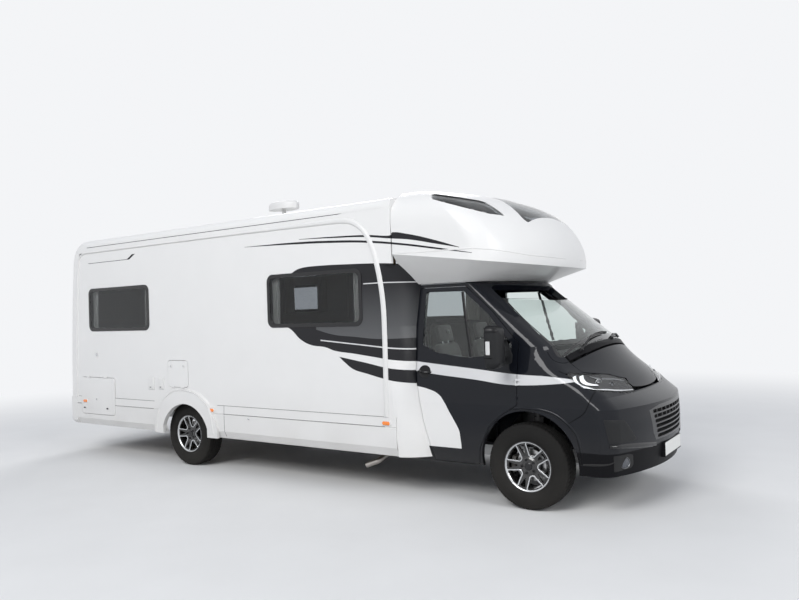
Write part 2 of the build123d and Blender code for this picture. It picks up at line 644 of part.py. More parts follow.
CHEEK_SKIN = 34.0
CORNER_FOOT = 2190.0
with BuildPart() as corner_mouldings:
    add(coach_outer)
    add(coach_inner, mode=Mode.SUBTRACT)
    add(side_prism([(POD_SIDE_REAR, CORNER_FOOT), (-1240, CORNER_FOOT), (-1240, RAIL_SEAM), (POD_SIDE_REAR, RAIL_SEAM)],
                   WALL_HALF_WIDTH - WALL, WALL_HALF_WIDTH + 10), mode=Mode.INTERSECT)
    for flip in (-1, 1):
        field = wall_field(WALL_HALF_WIDTH - WALL - 100, WALL_HALF_WIDTH + 10)
        add(field if flip < 0 else field.mirror(Plane.XZ), mode=Mode.SUBTRACT)
with BuildPart() as cheeks:
    for z, x_door, half_door, bulge in CHEEK_LEVELS:
        start = (X_FRONT_AXLE + wall_edge(z) + SEAT_GAP, WALL_HALF_WIDTH)
        end = (X_FRONT_AXLE + x_door, half_door)
        run, drop = end[0] - start[0], end[1] - start[1]
        length = hypot(run, drop)
        out = (-drop / length, run / length)
        middle = ((start[0] + end[0]) / 2 + out[0] * bulge, (start[1] + end[1]) / 2 + out[1] * bulge)
        inner_start = (start[0], start[1] - CHEEK_SKIN)
        inner_end = (end[0] - 2 * CHEEK_SKIN, end[1] - 5)
        inner_middle = (middle[0] - out[0] * CHEEK_SKIN - 12, middle[1] - out[1] * CHEEK_SKIN)
        with BuildSketch(Plane.XY.offset(z)):
            with BuildLine():
                ThreePointArc(start, middle, end)
                Line(end, inner_end)
                ThreePointArc(inner_end, inner_middle, inner_start)
                Line(inner_start, start)
            make_face()
    loft(ruled=True)
    both_sides()
    add(cab_lower_outer, mode=Mode.SUBTRACT)
    add(cab_upper_outer, mode=Mode.SUBTRACT)
    add(pod_outer, mode=Mode.SUBTRACT)
    corner = [(POD_SIDE_REAR, CORNER_FOOT), (-1240, CORNER_FOOT), (-1240, RAIL_SEAM), (POD_SIDE_REAR, RAIL_SEAM)]
    add(side_prism(corner, 0, WALL_HALF_WIDTH + 20), mode=Mode.SUBTRACT)
    add(skirts.part, mode=Mode.SUBTRACT)
    add(corner_mouldings.part)
save(cheeks, "cheeks")

# Cab panels, seen from the side: x from the front axle, height
DOOR_FRONT = -70.0
CAB_HINGE_Y = CAB_HALF_WIDTH + 8.0
CAB_HINGES = [960.0, 1100.0]
CAB_LEAF_REACH = 48.0
cab_hinges = [
    hinge((X_FRONT_AXLE + DOOR_FRONT, -CAB_HINGE_Y, z), (0, 0, 1), (0.8, 0.6, 0), (-0.8, 0.6, 0), CAB_LEAF_REACH)
    for z in CAB_HINGES
]
DOOR = [(-1112, 1955), (-617, 1955), (-330, 1712), (DOOR_FRONT, 1432), (DOOR_FRONT, 905), (-215, 815), (-350, 700),
        (-452, 500), (-470, CAB_SILL + 12), (-935, CAB_SILL + 12), (-1035, 713), (-1096, 1080), (-1132, 1560)]
DOOR_GLASS = [(-1050, 1918), (-640, 1912), (-370, 1690), (-130, 1420), (-160, 1345), (-560, 1300), (-900, 1345), (-1060, 1420)]
FRONT_ARCH_RADIUS = 448.0
FRONT_ARCH_Z = 405.0
FRONT_ARCH_X = 12.0
WING_SEAM = [(640, 985), (514, 718), (462, 400), (462, 200), (1300, 200), (1300, 985)]
LAMP_HALF_IN = 405.0
LAMP = [(355, 1168), (372, 1182), (440, 1168), (500, 1157), (595, 1150), (692, 1105), (748, 1030), (800, 1000),
        (800, 966), (745, 978), (685, 1008), (600, 1036), (525, 1056), (433, 1110)]
BONNET_SIDE = [(235, 1352), (262, 1212), (400, 1188), (590, 1144), (684, 1094), (738, 1022), (770, 1000), (840, 979),
               (1100, 979), (1100, 1500), (300, 1500)]
BONNET_HALF_WIDTH = 800.0
BONNET_HINGE = (212.0, 1332.0)
BONNET_PIN_RADIUS = 6.0
BONNET_ARM = 10.0
BONNET_ARM_IN = BONNET_HALF_WIDTH - BONNET_ARM - SHUT_GAP
BONNET_BRACKET = [(199, 1326), (203, 1343), (213, 1346), (224, 1338), (229, 1300), (232, 1262), (238, 1244),
                  (262, 1240), (385, 1208), (385, 1194), (250, 1212), (206, 1236)]
BONNET_REAR = [(472, 0), (454, 300), (423, 500), (381, 680), (347, 805)]
GRILLE_OUTLINE = [(-300, 868), (-500, 838), (-452, 640), (-400, 575), (400, 575), (452, 640), (500, 838), (300, 868)]
PANEL_HALF_IN = 560.0

door_prism = side_prism(DOOR, PANEL_HALF_IN, radius=14)
door_prism_grown = side_prism(DOOR, PANEL_HALF_IN - 5, radius=14, outlines=SHUT_GAP)
glass_prism = side_prism(DOOR_GLASS, PANEL_HALF_IN, radius=18)
arch_cut = Cylinder(FRONT_ARCH_RADIUS, 4 * CAB_HALF_WIDTH, rotation=(90, 0, 0)).moved(
    Location((X_FRONT_AXLE + FRONT_ARCH_X, 0, FRONT_ARCH_Z)))
arch_cut = arch_cut - box_between((0, -PANEL_HALF_IN + 60, 0), (2 * X_FRONT_AXLE, PANEL_HALF_IN - 60, 2000))
lamp_prism = side_prism(LAMP, LAMP_HALF_IN)
bumper_prism = side_prism(WING_SEAM, 0, radius=0)
with BuildPart() as bonnet_tool:
    with BuildSketch(Plane.XZ.offset(-BONNET_HALF_WIDTH)):
        Polygon(*at_front_axle(BONNET_SIDE), align=None)
        fillet(vertices().filter_by(lambda v: v.Y < 1400 and v.X < X_FRONT_AXLE + 1050), 20)
    extrude(amount=2 * BONNET_HALF_WIDTH)
bonnet_prism = bonnet_tool.part
with BuildPart() as bonnet_tool_grown:
    with BuildSketch(Plane.XZ.offset(-BONNET_HALF_WIDTH - SHUT_GAP)):
        Polygon(*at_front_axle(BONNET_SIDE), align=None)
        fillet(vertices().filter_by(lambda v: v.Y < 1400 and v.X < X_FRONT_AXLE + 1050), 20)
        offset(amount=SHUT_GAP, kind=Kind.INTERSECTION, mode=Mode.REPLACE)
    extrude(amount=2 * (BONNET_HALF_WIDTH + SHUT_GAP))
bonnet_prism_grown = bonnet_tool_grown.part
grille_prism = cross_block(GRILLE_OUTLINE, X_FRONT_AXLE + 600, X_FRONT_AXLE + FRONT_OVERHANG + 50)

# Windscreen, drawn on its own slanted plane: distance up the slope, and from the middle
SCREEN_SLOPE = 38.6
SCREEN_MIDDLE = (78.0, 1697.0)
SCREEN_FOOT = (-405.0, 862.0)
SCREEN_FOOT_MIDDLE = -436.0
SCREEN_HEAD = (585.0, 742.0)
SCREEN_HEAD_MIDDLE = 408.0


def screen_prism(grow):
    """The windscreen's outline as a prism across the cab's skin."""
    lean = radians(SCREEN_SLOPE)
    tilted = Plane(origin=(X_FRONT_AXLE + SCREEN_MIDDLE[0], 0, SCREEN_MIDDLE[1]),
                   x_dir=(-cos(lean), 0, sin(lean)), z_dir=(sin(lean), 0, cos(lean)))
    foot, foot_half = SCREEN_FOOT
    head, head_half = SCREEN_HEAD
    with BuildPart() as prism:
        with BuildSketch(tilted.offset(-340)):
            with BuildLine():
                ThreePointArc((foot, foot_half), (SCREEN_FOOT_MIDDLE, 0), (foot, -foot_half))
                Line((foot, -foot_half), (head, -head_half))
                ThreePointArc((head, -head_half), (SCREEN_HEAD_MIDDLE, 0), (head, head_half))
                Line((head, head_half), (foot, foot_half))
            make_face()
            fillet(vertices(), 55)
            if grow:
                offset(amount=grow, kind=Kind.INTERSECTION, mode=Mode.REPLACE)
        extrude(amount=460)
    return prism.part


upper_glass_block = level_loft(UPPER_CAB, X_CAB_REAR + 40, inset=GLASS_SET_IN)
upper_glass_core = level_loft(UPPER_CAB, X_CAB_REAR + 30, inset=GLASS_SET_IN + GLASS, top=CAB_TOP + 20,
                              bottom=COWL_HEIGHT - 20)
lower_glass_block = lower_cab(X_CAB_REAR + 40, inset=GLASS_SET_IN)
lower_glass_core = lower_cab(X_CAB_REAR + 30, inset=GLASS_SET_IN + GLASS, bottom=CAB_SILL - 20)
with BuildPart() as windscreen:
    add(upper_glass_block)
    add(lower_glass_block)
    add(upper_glass_core, mode=Mode.SUBTRACT)
    add(lower_glass_core, mode=Mode.SUBTRACT)
    add(screen_prism(0), mode=Mode.INTERSECT)
save(windscreen, "windscreen")

# Cab shell: pillars, sills, roof, floor and bulkhead, with every opening cut
CAB_FLOOR = 470.0
CAB_FLOOR_THICK = 30.0
BULKHEAD_X = 190.0
with BuildPart() as cab_floor_block:
    add(box_between((X_CAB_REAR, -1100, CAB_FLOOR - CAB_FLOOR_THICK), (X_FRONT_AXLE + BULKHEAD_X, 1100, CAB_FLOOR)))
    add(box_between((X_FRONT_AXLE + BULKHEAD_X - 20, -1100, CAB_FLOOR - CAB_FLOOR_THICK),
                    (X_FRONT_AXLE + BULKHEAD_X, 1100, COWL_HEIGHT - 60)))
    add(box_between((X_CAB_REAR, -1100, CAB_FLOOR - CAB_FLOOR_THICK), (X_CAB_REAR + 20, 1100, FLOOR_BOTTOM + FLOOR_THICK)))
    add(cab_lower_inner, mode=Mode.INTERSECT)
    add(box_between((X_FRONT_AXLE - 520, 520, 0), (X_FRONT_AXLE + 600, 1200, 830)), mode=Mode.SUBTRACT)
    add(box_between((X_FRONT_AXLE - 520, -1200, 0), (X_FRONT_AXLE + 600, -520, 830)), mode=Mode.SUBTRACT)
    for flip in (-1, 1):
        low, high = sorted((flip * 500, flip * 965))
        add(box_between((X_FRONT_AXLE - 520, low, 395), (X_FRONT_AXLE + BULKHEAD_X, high, 850)))
        low, high = sorted((flip * 520, flip * 1100))
        add(box_between((X_FRONT_AXLE - 500, low, 0), (X_FRONT_AXLE + BULKHEAD_X + 50, high, 830)), mode=Mode.SUBTRACT)
WING_X_REAR = X_FRONT_AXLE - 65
WING_TOP = 1352.0
COWL_SKIN = 12.0
COWL_REACH = 55.0
COWL_SLOT = (BONNET_ARM_IN - SHUT_GAP - 1, BONNET_HALF_WIDTH + 1)
# Cowl between the windscreen and the bonnet's rear corners, slotted for the bonnet's arms
with BuildPart() as cowl:
    add(cab_lower_outer)
    add(lower_cab(X_CAB_REAR - 10, inset=COWL_SKIN, bottom=CAB_SILL - 20), mode=Mode.SUBTRACT)
    add(screen_prism(COWL_REACH) - screen_prism(0), mode=Mode.INTERSECT)
    add(box_between((WING_X_REAR, -1200, WING_TOP - 200), (2 * X_FRONT_AXLE, 1200, WING_TOP + 2)),
        mode=Mode.INTERSECT)
    add(box_between((0, -PANEL_HALF_IN, 0), (2 * X_FRONT_AXLE, PANEL_HALF_IN, 2000)), mode=Mode.SUBTRACT)
    add(box_between((0, COWL_SLOT[0], 0), (2 * X_FRONT_AXLE, COWL_SLOT[1], 2000)), mode=Mode.SUBTRACT)
    add(box_between((0, -COWL_SLOT[1], 0), (2 * X_FRONT_AXLE, -COWL_SLOT[0], 2000)), mode=Mode.SUBTRACT)
    add(door_prism_grown, mode=Mode.SUBTRACT)
with BuildPart() as cab_shell:
    add(cab_skin)
    add(cab_floor_block.part)
    add(door_prism_grown, mode=Mode.SUBTRACT)
    add(screen_prism(0), mode=Mode.SUBTRACT)
    add(arch_cut, mode=Mode.SUBTRACT)
    add(bonnet_prism_grown - screen_prism(60), mode=Mode.SUBTRACT)
    add(box_between((X_FRONT_AXLE + BULKHEAD_X + 10, -1200, 0), (2 * X_FRONT_AXLE, 1200, WING_TOP - 60)),
        mode=Mode.SUBTRACT)
    for low, high in ((PANEL_HALF_IN, 1200), (-1200, -PANEL_HALF_IN)):
        add(box_between((WING_X_REAR, low, 0), (2 * X_FRONT_AXLE, high, WING_TOP)) - cab_floor_block.part,
            mode=Mode.SUBTRACT)
    add(box_between((X_CAB_REAR - 20, -700, CAB_TOP - 100), (X_FRONT_AXLE - 640, 700, CAB_TOP + 20)), mode=Mode.SUBTRACT)
    add(cowl.part)
save(cab_shell, "cab_shell")

# Front wings, bumper, lamps, grille and bonnet, all cut from the same skin
with BuildPart() as headlamps:
    add(cab_skin)
    add(lamp_prism, mode=Mode.INTERSECT)
    add(bonnet_prism_grown, mode=Mode.SUBTRACT)
save(headlamps, "headlamps")

with BuildPart() as front_wings:
    add(cab_skin)
    both = box_between((WING_X_REAR, PANEL_HALF_IN, 0), (2 * X_FRONT_AXLE, 1200, WING_TOP))
    add(both + both.mirror(Plane.XZ), mode=Mode.INTERSECT)
    for tool in (door_prism_grown, arch_cut, bonnet_prism_grown, lamp_prism, bumper_prism, screen_prism(60)):
        add(tool, mode=Mode.SUBTRACT)
    for fixed, _ in cab_hinges:
        add(fixed)
        add(fixed.mirror(Plane.XZ))
    for half_in in (BONNET_ARM_IN + BONNET_ARM + 2 * SHUT_GAP, -BONNET_ARM_IN - 2 * BONNET_ARM - 2 * SHUT_GAP):
        with BuildSketch(Plane.XZ.offset(half_in)):
            Polygon(*at_front_axle(BONNET_BRACKET), align=None)
            fillet(vertices(), BONNET_PIN_RADIUS - 1)
        extrude(amount=BONNET_ARM)
    with BuildSketch(Plane.XZ.offset(BONNET_ARM_IN)):
        with Locations((X_FRONT_AXLE + BONNET_HINGE[0], BONNET_HINGE[1])):
            Circle(BONNET_PIN_RADIUS)
    extrude(amount=BONNET_ARM + 2 * SHUT_GAP)
    with BuildSketch(Plane.XZ.offset(-BONNET_ARM_IN)):
        with Locations((X_FRONT_AXLE + BONNET_HINGE[0], BONNET_HINGE[1])):
            Circle(BONNET_PIN_RADIUS)
    extrude(amount=-BONNET_ARM - 2 * SHUT_GAP)
save(front_wings, "front_wings")

PLATE_PAD_X = X_FRONT_AXLE + FRONT_OVERHANG - 2
PLATE_LENGTH = 520.0
PLATE_HEIGHT = 111.0
PLATE_Z = 465.0
with BuildPart() as front_bumper:
    add(cab_skin)
    add(bumper_prism, mode=Mode.INTERSECT)
    add(box_between((PLATE_PAD_X - 70, -PLATE_LENGTH / 2 - 6, PLATE_Z - PLATE_HEIGHT / 2 - 6),
                    (PLATE_PAD_X, PLATE_LENGTH / 2 + 6, PLATE_Z + PLATE_HEIGHT / 2 + 6)))
    for tool in (bonnet_prism_grown, lamp_prism, arch_cut, grille_prism):
        add(tool, mode=Mode.SUBTRACT)
save(front_bumper, "front_bumper")

GRILLE_SLOTS = 6
GRILLE_PITCH = 43.0
GRILLE_SLOT = 30.0
GRILLE_FOOT = 591.0
GRILLE_FOOT_HALF = 370.0
GRILLE_FLARE = 14.0
with BuildPart() as grille:
    add(cab_skin)
    add(grille_prism, mode=Mode.INTERSECT)
    add(bonnet_prism_grown, mode=Mode.SUBTRACT)
    for row in range(GRILLE_SLOTS):
        z = GRILLE_FOOT + row * GRILLE_PITCH
        half = GRILLE_FOOT_HALF + GRILLE_FLARE * row
        with BuildSketch(Plane.YZ.offset(X_FRONT_AXLE + 600)):
            with Locations((0, z + GRILLE_SLOT / 2)):
                SlotOverall(2 * half, GRILLE_SLOT)
        extrude(amount=500, mode=Mode.SUBTRACT)
save(grille, "grille")

# The bonnet's rear edge is an upright wall along a curve in plan, so that it lifts clear
with BuildPart() as behind_bonnet:
    with BuildSketch():
        with BuildLine():
            rear_points = [(X_FRONT_AXLE + x, y) for x, y in BONNET_REAR]
            rear_edge = Spline(*[(x, -y) for x, y in reversed(rear_points)], *rear_points[1:])
            Polyline(rear_edge @ 1, (X_FRONT_AXLE, 905), (X_FRONT_AXLE, -905), rear_edge @ 0)
        make_face()
    extrude(amount=2000)
with BuildPart() as bonnet:
    add(cab_skin)
    add(bonnet_prism, mode=Mode.INTERSECT)
    add(behind_bonnet.part, mode=Mode.SUBTRACT)
    for half_in in (BONNET_ARM_IN, -BONNET_ARM_IN - BONNET_ARM):
        with BuildSketch(Plane.XZ.offset(half_in)):
            Polygon(*at_front_axle(BONNET_BRACKET), align=None)
            fillet(vertices(), BONNET_PIN_RADIUS - 1)
            with Locations((X_FRONT_AXLE + BONNET_HINGE[0], BONNET_HINGE[1])):
                Circle(BONNET_PIN_RADIUS + PIN_CLEARANCE, mode=Mode.SUBTRACT)
        extrude(amount=BONNET_ARM)
save(bonnet, "bonnet")

# Cab doors with their glass and mirrors, made on the right and mirrored for the left
half_space = box_between((-4000, -2000, 0), (4500, 0, 3500))
MIRROR = [(-208, 1590), (-150, 1598), (-98, 1570), (-86, 1300), (-104, 1228), (-186, 1225), (-216, 1290)]
MIRROR_ARM = [(-200, 1450), (-112, 1456), (-88, 1392), (-88, 1345), (-200, 1380)]
for side, name in ((-1, "right"), (1, "left")):
    with BuildPart() as door:
        add(cab_skin)
        add(door_prism, mode=Mode.INTERSECT)
        add(half_space, mode=Mode.INTERSECT)
        add(glass_prism, mode=Mode.SUBTRACT)
        for _, moving in cab_hinges:
            add(moving)
        if side > 0:
            mirror(about=Plane.XZ, mode=Mode.REPLACE)
    save(door, f"cab_door_{name}")
    with BuildPart() as glass:
        add(upper_glass_block)
        add(lower_glass_block)
        add(upper_glass_core, mode=Mode.SUBTRACT)
        add(lower_glass_core, mode=Mode.SUBTRACT)
        add(glass_prism, mode=Mode.INTERSECT)
        add(half_space, mode=Mode.INTERSECT)
        if side > 0:
            mirror(about=Plane.XZ, mode=Mode.REPLACE)
    save(glass, f"door_glass_{name}")
    with BuildPart() as mirror_head:
        add(right_block(MIRROR, 1120, 1320, radius=24))
        fillet(edges().filter_by(Axis.Y, reverse=True), 14)
        add(right_block(MIRROR_ARM, 930, 1125))
        add(cab_lower_outer, mode=Mode.SUBTRACT)
        add(cab_upper_outer, mode=Mode.SUBTRACT)
        if side > 0:
            mirror(about=Plane.XZ, mode=Mode.REPLACE)
    save(mirror_head, f"mirror_{name}")

# Chassis: two low rails with cross members, stepped up under the cab, and the front subframe
RAIL_HALF_IN = 390.0
RAIL_WIDTH = 60.0
RAIL_LOW = 420.0
RAIL_WEB = 12.0
CAB_RAIL_LOW = 320.0
MEMBERS = [-6560, -5500, -4620, -3640, -2500, -1420]
MEMBER_WIDTH = 60.0
OUTRIGGER_THICK = 14.0
JACK_PADS = [-5900, -2000]
JACK_PAD_THICK = 10.0
X_CHASSIS_REAR = X_REAR + 120.0
X_STEP = X_CAB_REAR - 40.0
ARM_BALL_Y = 740.0
ARM_BALL_Z = 240.0
with BuildPart() as chassis_frame:
    channel = [(RAIL_HALF_IN, RAIL_LOW), (RAIL_HALF_IN + RAIL_WIDTH, RAIL_LOW),
               (RAIL_HALF_IN + RAIL_WIDTH, FLOOR_BOTTOM - SEAT_GAP), (RAIL_HALF_IN, FLOOR_BOTTOM - SEAT_GAP),
               (RAIL_HALF_IN, FLOOR_BOTTOM - RAIL_WEB), (RAIL_HALF_IN + RAIL_WIDTH - RAIL_WEB, FLOOR_BOTTOM - RAIL_WEB),
               (RAIL_HALF_IN + RAIL_WIDTH - RAIL_WEB, RAIL_LOW + RAIL_WEB), (RAIL_HALF_IN, RAIL_LOW + RAIL_WEB)]
    add(cross_block(channel, X_CHASSIS_REAR, X_STEP))
    both_sides()
    for x in MEMBERS:
        reach = RAIL_HALF_IN + RAIL_WIDTH - RAIL_WEB / 2
        add(box_between((X_FRONT_AXLE + x, -reach, RAIL_LOW + 30), (X_FRONT_AXLE + x + MEMBER_WIDTH, reach, FLOOR_BOTTOM - 40)))
    for x in (MEMBERS[1], MEMBERS[3], MEMBERS[4], MEMBERS[5] - 60):
        arm = [(RAIL_HALF_IN + RAIL_WIDTH - 2, RAIL_LOW + 40), (RAIL_HALF_IN + RAIL_WIDTH - 2, FLOOR_BOTTOM - SEAT_GAP),
               (SKIRT_FACE - SKIRT_THICK - SEAT_GAP, FLOOR_BOTTOM - SEAT_GAP),
               (SKIRT_FACE - SKIRT_THICK - SEAT_GAP, FLOOR_BOTTOM - 60)]
        add(cross_block(arm, X_FRONT_AXLE + x, X_FRONT_AXLE + x + OUTRIGGER_THICK))
        add(cross_block([(-y, z) for y, z in reversed(arm)], X_FRONT_AXLE + x, X_FRONT_AXLE + x + OUTRIGGER_THICK))
    for flip in (-1, 1):
        low, high = sorted((flip * RAIL_HALF_IN, flip * (RAIL_HALF_IN + RAIL_WIDTH)))
        add(box_between((X_STEP - 10, low, CAB_RAIL_LOW), (X_FRONT_AXLE + 640, high, CAB_FLOOR - CAB_FLOOR_THICK - SEAT_GAP)))
        add(box_between((X_STEP - 60, low, CAB_RAIL_LOW), (X_STEP + 20, high, FLOOR_BOTTOM - SEAT_GAP)))
        outline = [(-150, 430), (60, 430), (34, ARM_BALL_Y + 22), (-34, ARM_BALL_Y + 22)]
        with BuildSketch(Plane.XY.offset(ARM_BALL_Z - 26)):
            Polygon(*[(X_FRONT_AXLE + x, flip * y) for x, y in outline], align=None)
        extrude(amount=26)
    add(box_between((X_FRONT_AXLE - 170, -450, ARM_BALL_Z - 30), (X_FRONT_AXLE + 80, 450, CAB_RAIL_LOW + 1)))
    add(box_between((X_FRONT_AXLE - 130, -400, ARM_BALL_Z), (X_FRONT_AXLE + 40, 400, CAB_RAIL_LOW + 2)), mode=Mode.SUBTRACT)
    add(box_between((X_FRONT_AXLE + 600, -RAIL_HALF_IN - 1, CAB_RAIL_LOW), (X_FRONT_AXLE + 640, RAIL_HALF_IN + 1, CAB_RAIL_LOW + 100)))
    for x in JACK_PADS:
        for flip in (-1, 1):
            low, high = sorted((flip * RAIL_HALF_IN, flip * (RAIL_HALF_IN + RAIL_WIDTH)))
            add(box_between((X_FRONT_AXLE + x - 50, low, RAIL_LOW - JACK_PAD_THICK), (X_FRONT_AXLE + x + 50, high, RAIL_LOW + 1)))
save(chassis_frame, "chassis_frame")

# Rear axle: a torsion tube with trailing arms and stub axles
STUB_RADIUS = HUB_BORE - RUNNING_GAP
TUBE_RADIUS = 50.0
TUBE_AHEAD = 170.0
TUBE_Z = 365.0
HUB_FACE = 62.0
STUB_END = HUB_FACE - 6.0
STUB_START = -62.0
with BuildPart() as rear_axle:
    with BuildSketch(Plane.XZ.offset(-780)):
        with Locations((X_REAR_AXLE + TUBE_AHEAD, TUBE_Z)):
            Circle(TUBE_RADIUS)
    extrude(amount=1560)
    for flip in (-1, 1):
        low, high = sorted((flip * (RAIL_HALF_IN + RAIL_WIDTH), flip * (RAIL_HALF_IN + RAIL_WIDTH + 14)))
        add(box_between((X_REAR_AXLE + TUBE_AHEAD - 90, low, TUBE_Z - 30), (X_REAR_AXLE + TUBE_AHEAD + 90, high, 560)))
        with BuildSketch(Plane.XZ.offset(-flip * 780 if flip > 0 else 780 - 46)):
            with BuildLine():
                Polyline(*[(X_REAR_AXLE + x, z) for x, z in (
                    (TUBE_AHEAD + 70, TUBE_Z + 50), (TUBE_AHEAD + 70, TUBE_Z - 60), (-60, AXLE_HEIGHT - 60), (-60, AXLE_HEIGHT + 60))],
                    close=True)
            make_face()
        extrude(amount=46)
        start, end = sorted((flip * 760, flip * (REAR_HALF_TRACK + STUB_END)))
        with BuildSketch(Plane.XZ.offset(-end)):
            with Locations((X_REAR_AXLE, AXLE_HEIGHT)):
                Circle(STUB_RADIUS)
        extrude(amount=end - start)
        start, end = sorted((flip * 826, flip * 838))
        with BuildSketch(Plane.XZ.offset(-end)):
            with Locations((X_REAR_AXLE, AXLE_HEIGHT)):
                Circle(150)
        extrude(amount=12)
save(rear_axle, "rear_axle")

# Steering knuckles with their struts, made on the left and mirrored for the right
with BuildPart() as knuckle:
    add(box_between((X_FRONT_AXLE - 42, ARM_BALL_Y - 30, ARM_BALL_Z + SEAT_GAP), (X_FRONT_AXLE + 42, ARM_BALL_Y + 30, 520)))
    with BuildSketch(Plane.XZ.offset(-(FRONT_HALF_TRACK + STUB_END))):
        with Locations((X_FRONT_AXLE, AXLE_HEIGHT)):
            Circle(STUB_RADIUS)
    extrude(amount=FRONT_HALF_TRACK + STUB_END - ARM_BALL_Y)
    with BuildSketch(Plane.XZ.offset(-800)):
        with Locations((X_FRONT_AXLE, AXLE_HEIGHT)):
            Circle(70)
    extrude(amount=40)
    add(box_between((X_FRONT_AXLE - 178, 765, AXLE_HEIGHT - 60), (X_FRONT_AXLE - 40, 790, AXLE_HEIGHT + 60)))
    with BuildSketch(Plane.XZ.offset(-(FRONT_HALF_TRACK + 32))):
        with BuildLine():
            CenterArc((X_FRONT_AXLE, AXLE_HEIGHT), 182, 155, 50)
            CenterArc((X_FRONT_AXLE, AXLE_HEIGHT), 146, 155, 50)
            for turn in (155, 205):
                Line(
                    (X_FRONT_AXLE + 146 * cos(radians(turn)), AXLE_HEIGHT + 146 * sin(radians(turn))),
                    (X_FRONT_AXLE + 182 * cos(radians(turn)), AXLE_HEIGHT + 182 * sin(radians(turn))),
                )
        make_face()
    extrude(amount=FRONT_HALF_TRACK + 32 - 770)
    for z_low, z_high, radius in ((515, 829.7, 27), (640, 770, 44)):
        with BuildSketch(Plane.XY.offset(z_low)):
            with Locations((X_FRONT_AXLE, ARM_BALL_Y)):
                Circle(radius)
        extrude(amount=z_high - z_low)
save(knuckle, "knuckle_left")
with BuildPart() as knuckle_right:
    add(knuckle.part)
    mirror(about=Plane.XZ, mode=Mode.REPLACE)
save(knuckle_right, "knuckle_right")

# Wheels. Offsets are outwards from the wheel's middle plane
BEAD_RADIUS = 203.0
BEAD_HALF = 88.0
SPOKES = 5
DISC_RADIUS = 138.0
TREAD_HALF = 92.0
TYRE_BULGE_RADIUS = 292.0


def wheel_plane(x, y, side):
    """A plane through a wheel's middle, with its normal pointing outwards."""
    return Plane(origin=(x, y * side, AXLE_HEIGHT), x_dir=(1, 0, 0), z_dir=(0, side, 0))


def make_wheel(x, half_track, side, name):
    middle = wheel_plane(x, half_track, side)
    section = Plane(origin=middle.origin, x_dir=(1, 0, 0), z_dir=(0, 0, side))
    axis = Axis(middle.origin, middle.z_dir)
    with BuildPart() as rim:
        with BuildSketch(section):
            # barrel with its two flanges
            Polygon((BEAD_RADIUS, BEAD_HALF), (BEAD_RADIUS + 17, BEAD_HALF + 0.3), (BEAD_RADIUS + 17, BEAD_HALF + 8),
                    (BEAD_RADIUS + 4, BEAD_HALF + 8), (BEAD_RADIUS - 9, BEAD_HALF - 8), (BEAD_RADIUS - 9, -BEAD_HALF + 8),
                    (BEAD_RADIUS + 4, -BEAD_HALF - 8), (BEAD_RADIUS + 17, -BEAD_HALF - 8),
                    (BEAD_RADIUS + 17, -BEAD_HALF - 0.3), (BEAD_RADIUS, -BEAD_HALF), align=None)
            # dished spoke disc
            Polygon((0, HUB_FACE + 14), (66, HUB_FACE + 16), (82, HUB_FACE + 8), (BEAD_RADIUS - 8, BEAD_HALF - 2),
                    (BEAD_RADIUS - 8, BEAD_HALF - 26), (80, HUB_FACE - 14), (0, HUB_FACE - 4), align=None)
            # hub with its brake disc
            Polygon((HUB_BORE, HUB_FACE), (HUB_BORE, STUB_START + 40), (64, STUB_START + 40), (64, -12), (DISC_RADIUS, -12),
                    (DISC_RADIUS, 12), (64, 12), (64, HUB_FACE), align=None)
        revolve(axis=axis)
        with BuildSketch(middle.offset(HUB_FACE - 50)):
            # a wide window between two spoke pairs and a narrow one inside each pair
            with PolarLocations(0, SPOKES):
                Polygon((98, -18), (178, -68), (190, -38), (190, 38), (178, 68), (98, 18), align=None)
            with PolarLocations(0, SPOKES, start_angle=36):
                Polygon((104, -4), (182, -26), (188, 0), (182, 26), (104, 4), align=None)
        extrude(amount=120, mode=Mode.SUBTRACT)
        with BuildSketch(middle.offset(STUB_START)):
            Circle(HUB_BORE)
        extrude(amount=HUB_FACE - 4 - STUB_START, mode=Mode.SUBTRACT)
    save(rim, f"rim_{name}")
    with BuildPart() as tyre:
        with BuildSketch(section):
            with BuildLine():
                bead = Polyline((BEAD_RADIUS + 0.0, -BEAD_HALF), (BEAD_RADIUS + 0.0, BEAD_HALF), (BEAD_RADIUS + 18, BEAD_HALF))
                ThreePointArc((BEAD_RADIUS + 18, BEAD_HALF), (TYRE_BULGE_RADIUS, TYRE_WIDTH / 2), (TYRE_RADIUS - 16, TREAD_HALF + 6))
                Line((TYRE_RADIUS - 16, TREAD_HALF + 6), (TYRE_RADIUS, TREAD_HALF - 14))
                Line((TYRE_RADIUS, TREAD_HALF - 14), (TYRE_RADIUS, -TREAD_HALF + 14))
                Line((TYRE_RADIUS, -TREAD_HALF + 14), (TYRE_RADIUS - 16, -TREAD_HALF - 6))
                ThreePointArc((TYRE_RADIUS - 16, -TREAD_HALF - 6), (TYRE_BULGE_RADIUS, -TYRE_WIDTH / 2), (BEAD_RADIUS + 18, -BEAD_HALF))
                Line((BEAD_RADIUS + 18, -BEAD_HALF), (BEAD_RADIUS + 0.0, -BEAD_HALF))
            make_face()
        revolve(axis=axis)
    save(tyre, f"tyre_{name}")


for side, hand in ((-1, "right"), (1, "left")):
    make_wheel(X_FRONT_AXLE, FRONT_HALF_TRACK, side, f"front_{hand}")
    make_wheel(X_REAR_AXLE, REAR_HALF_TRACK, side, f"rear_{hand}")

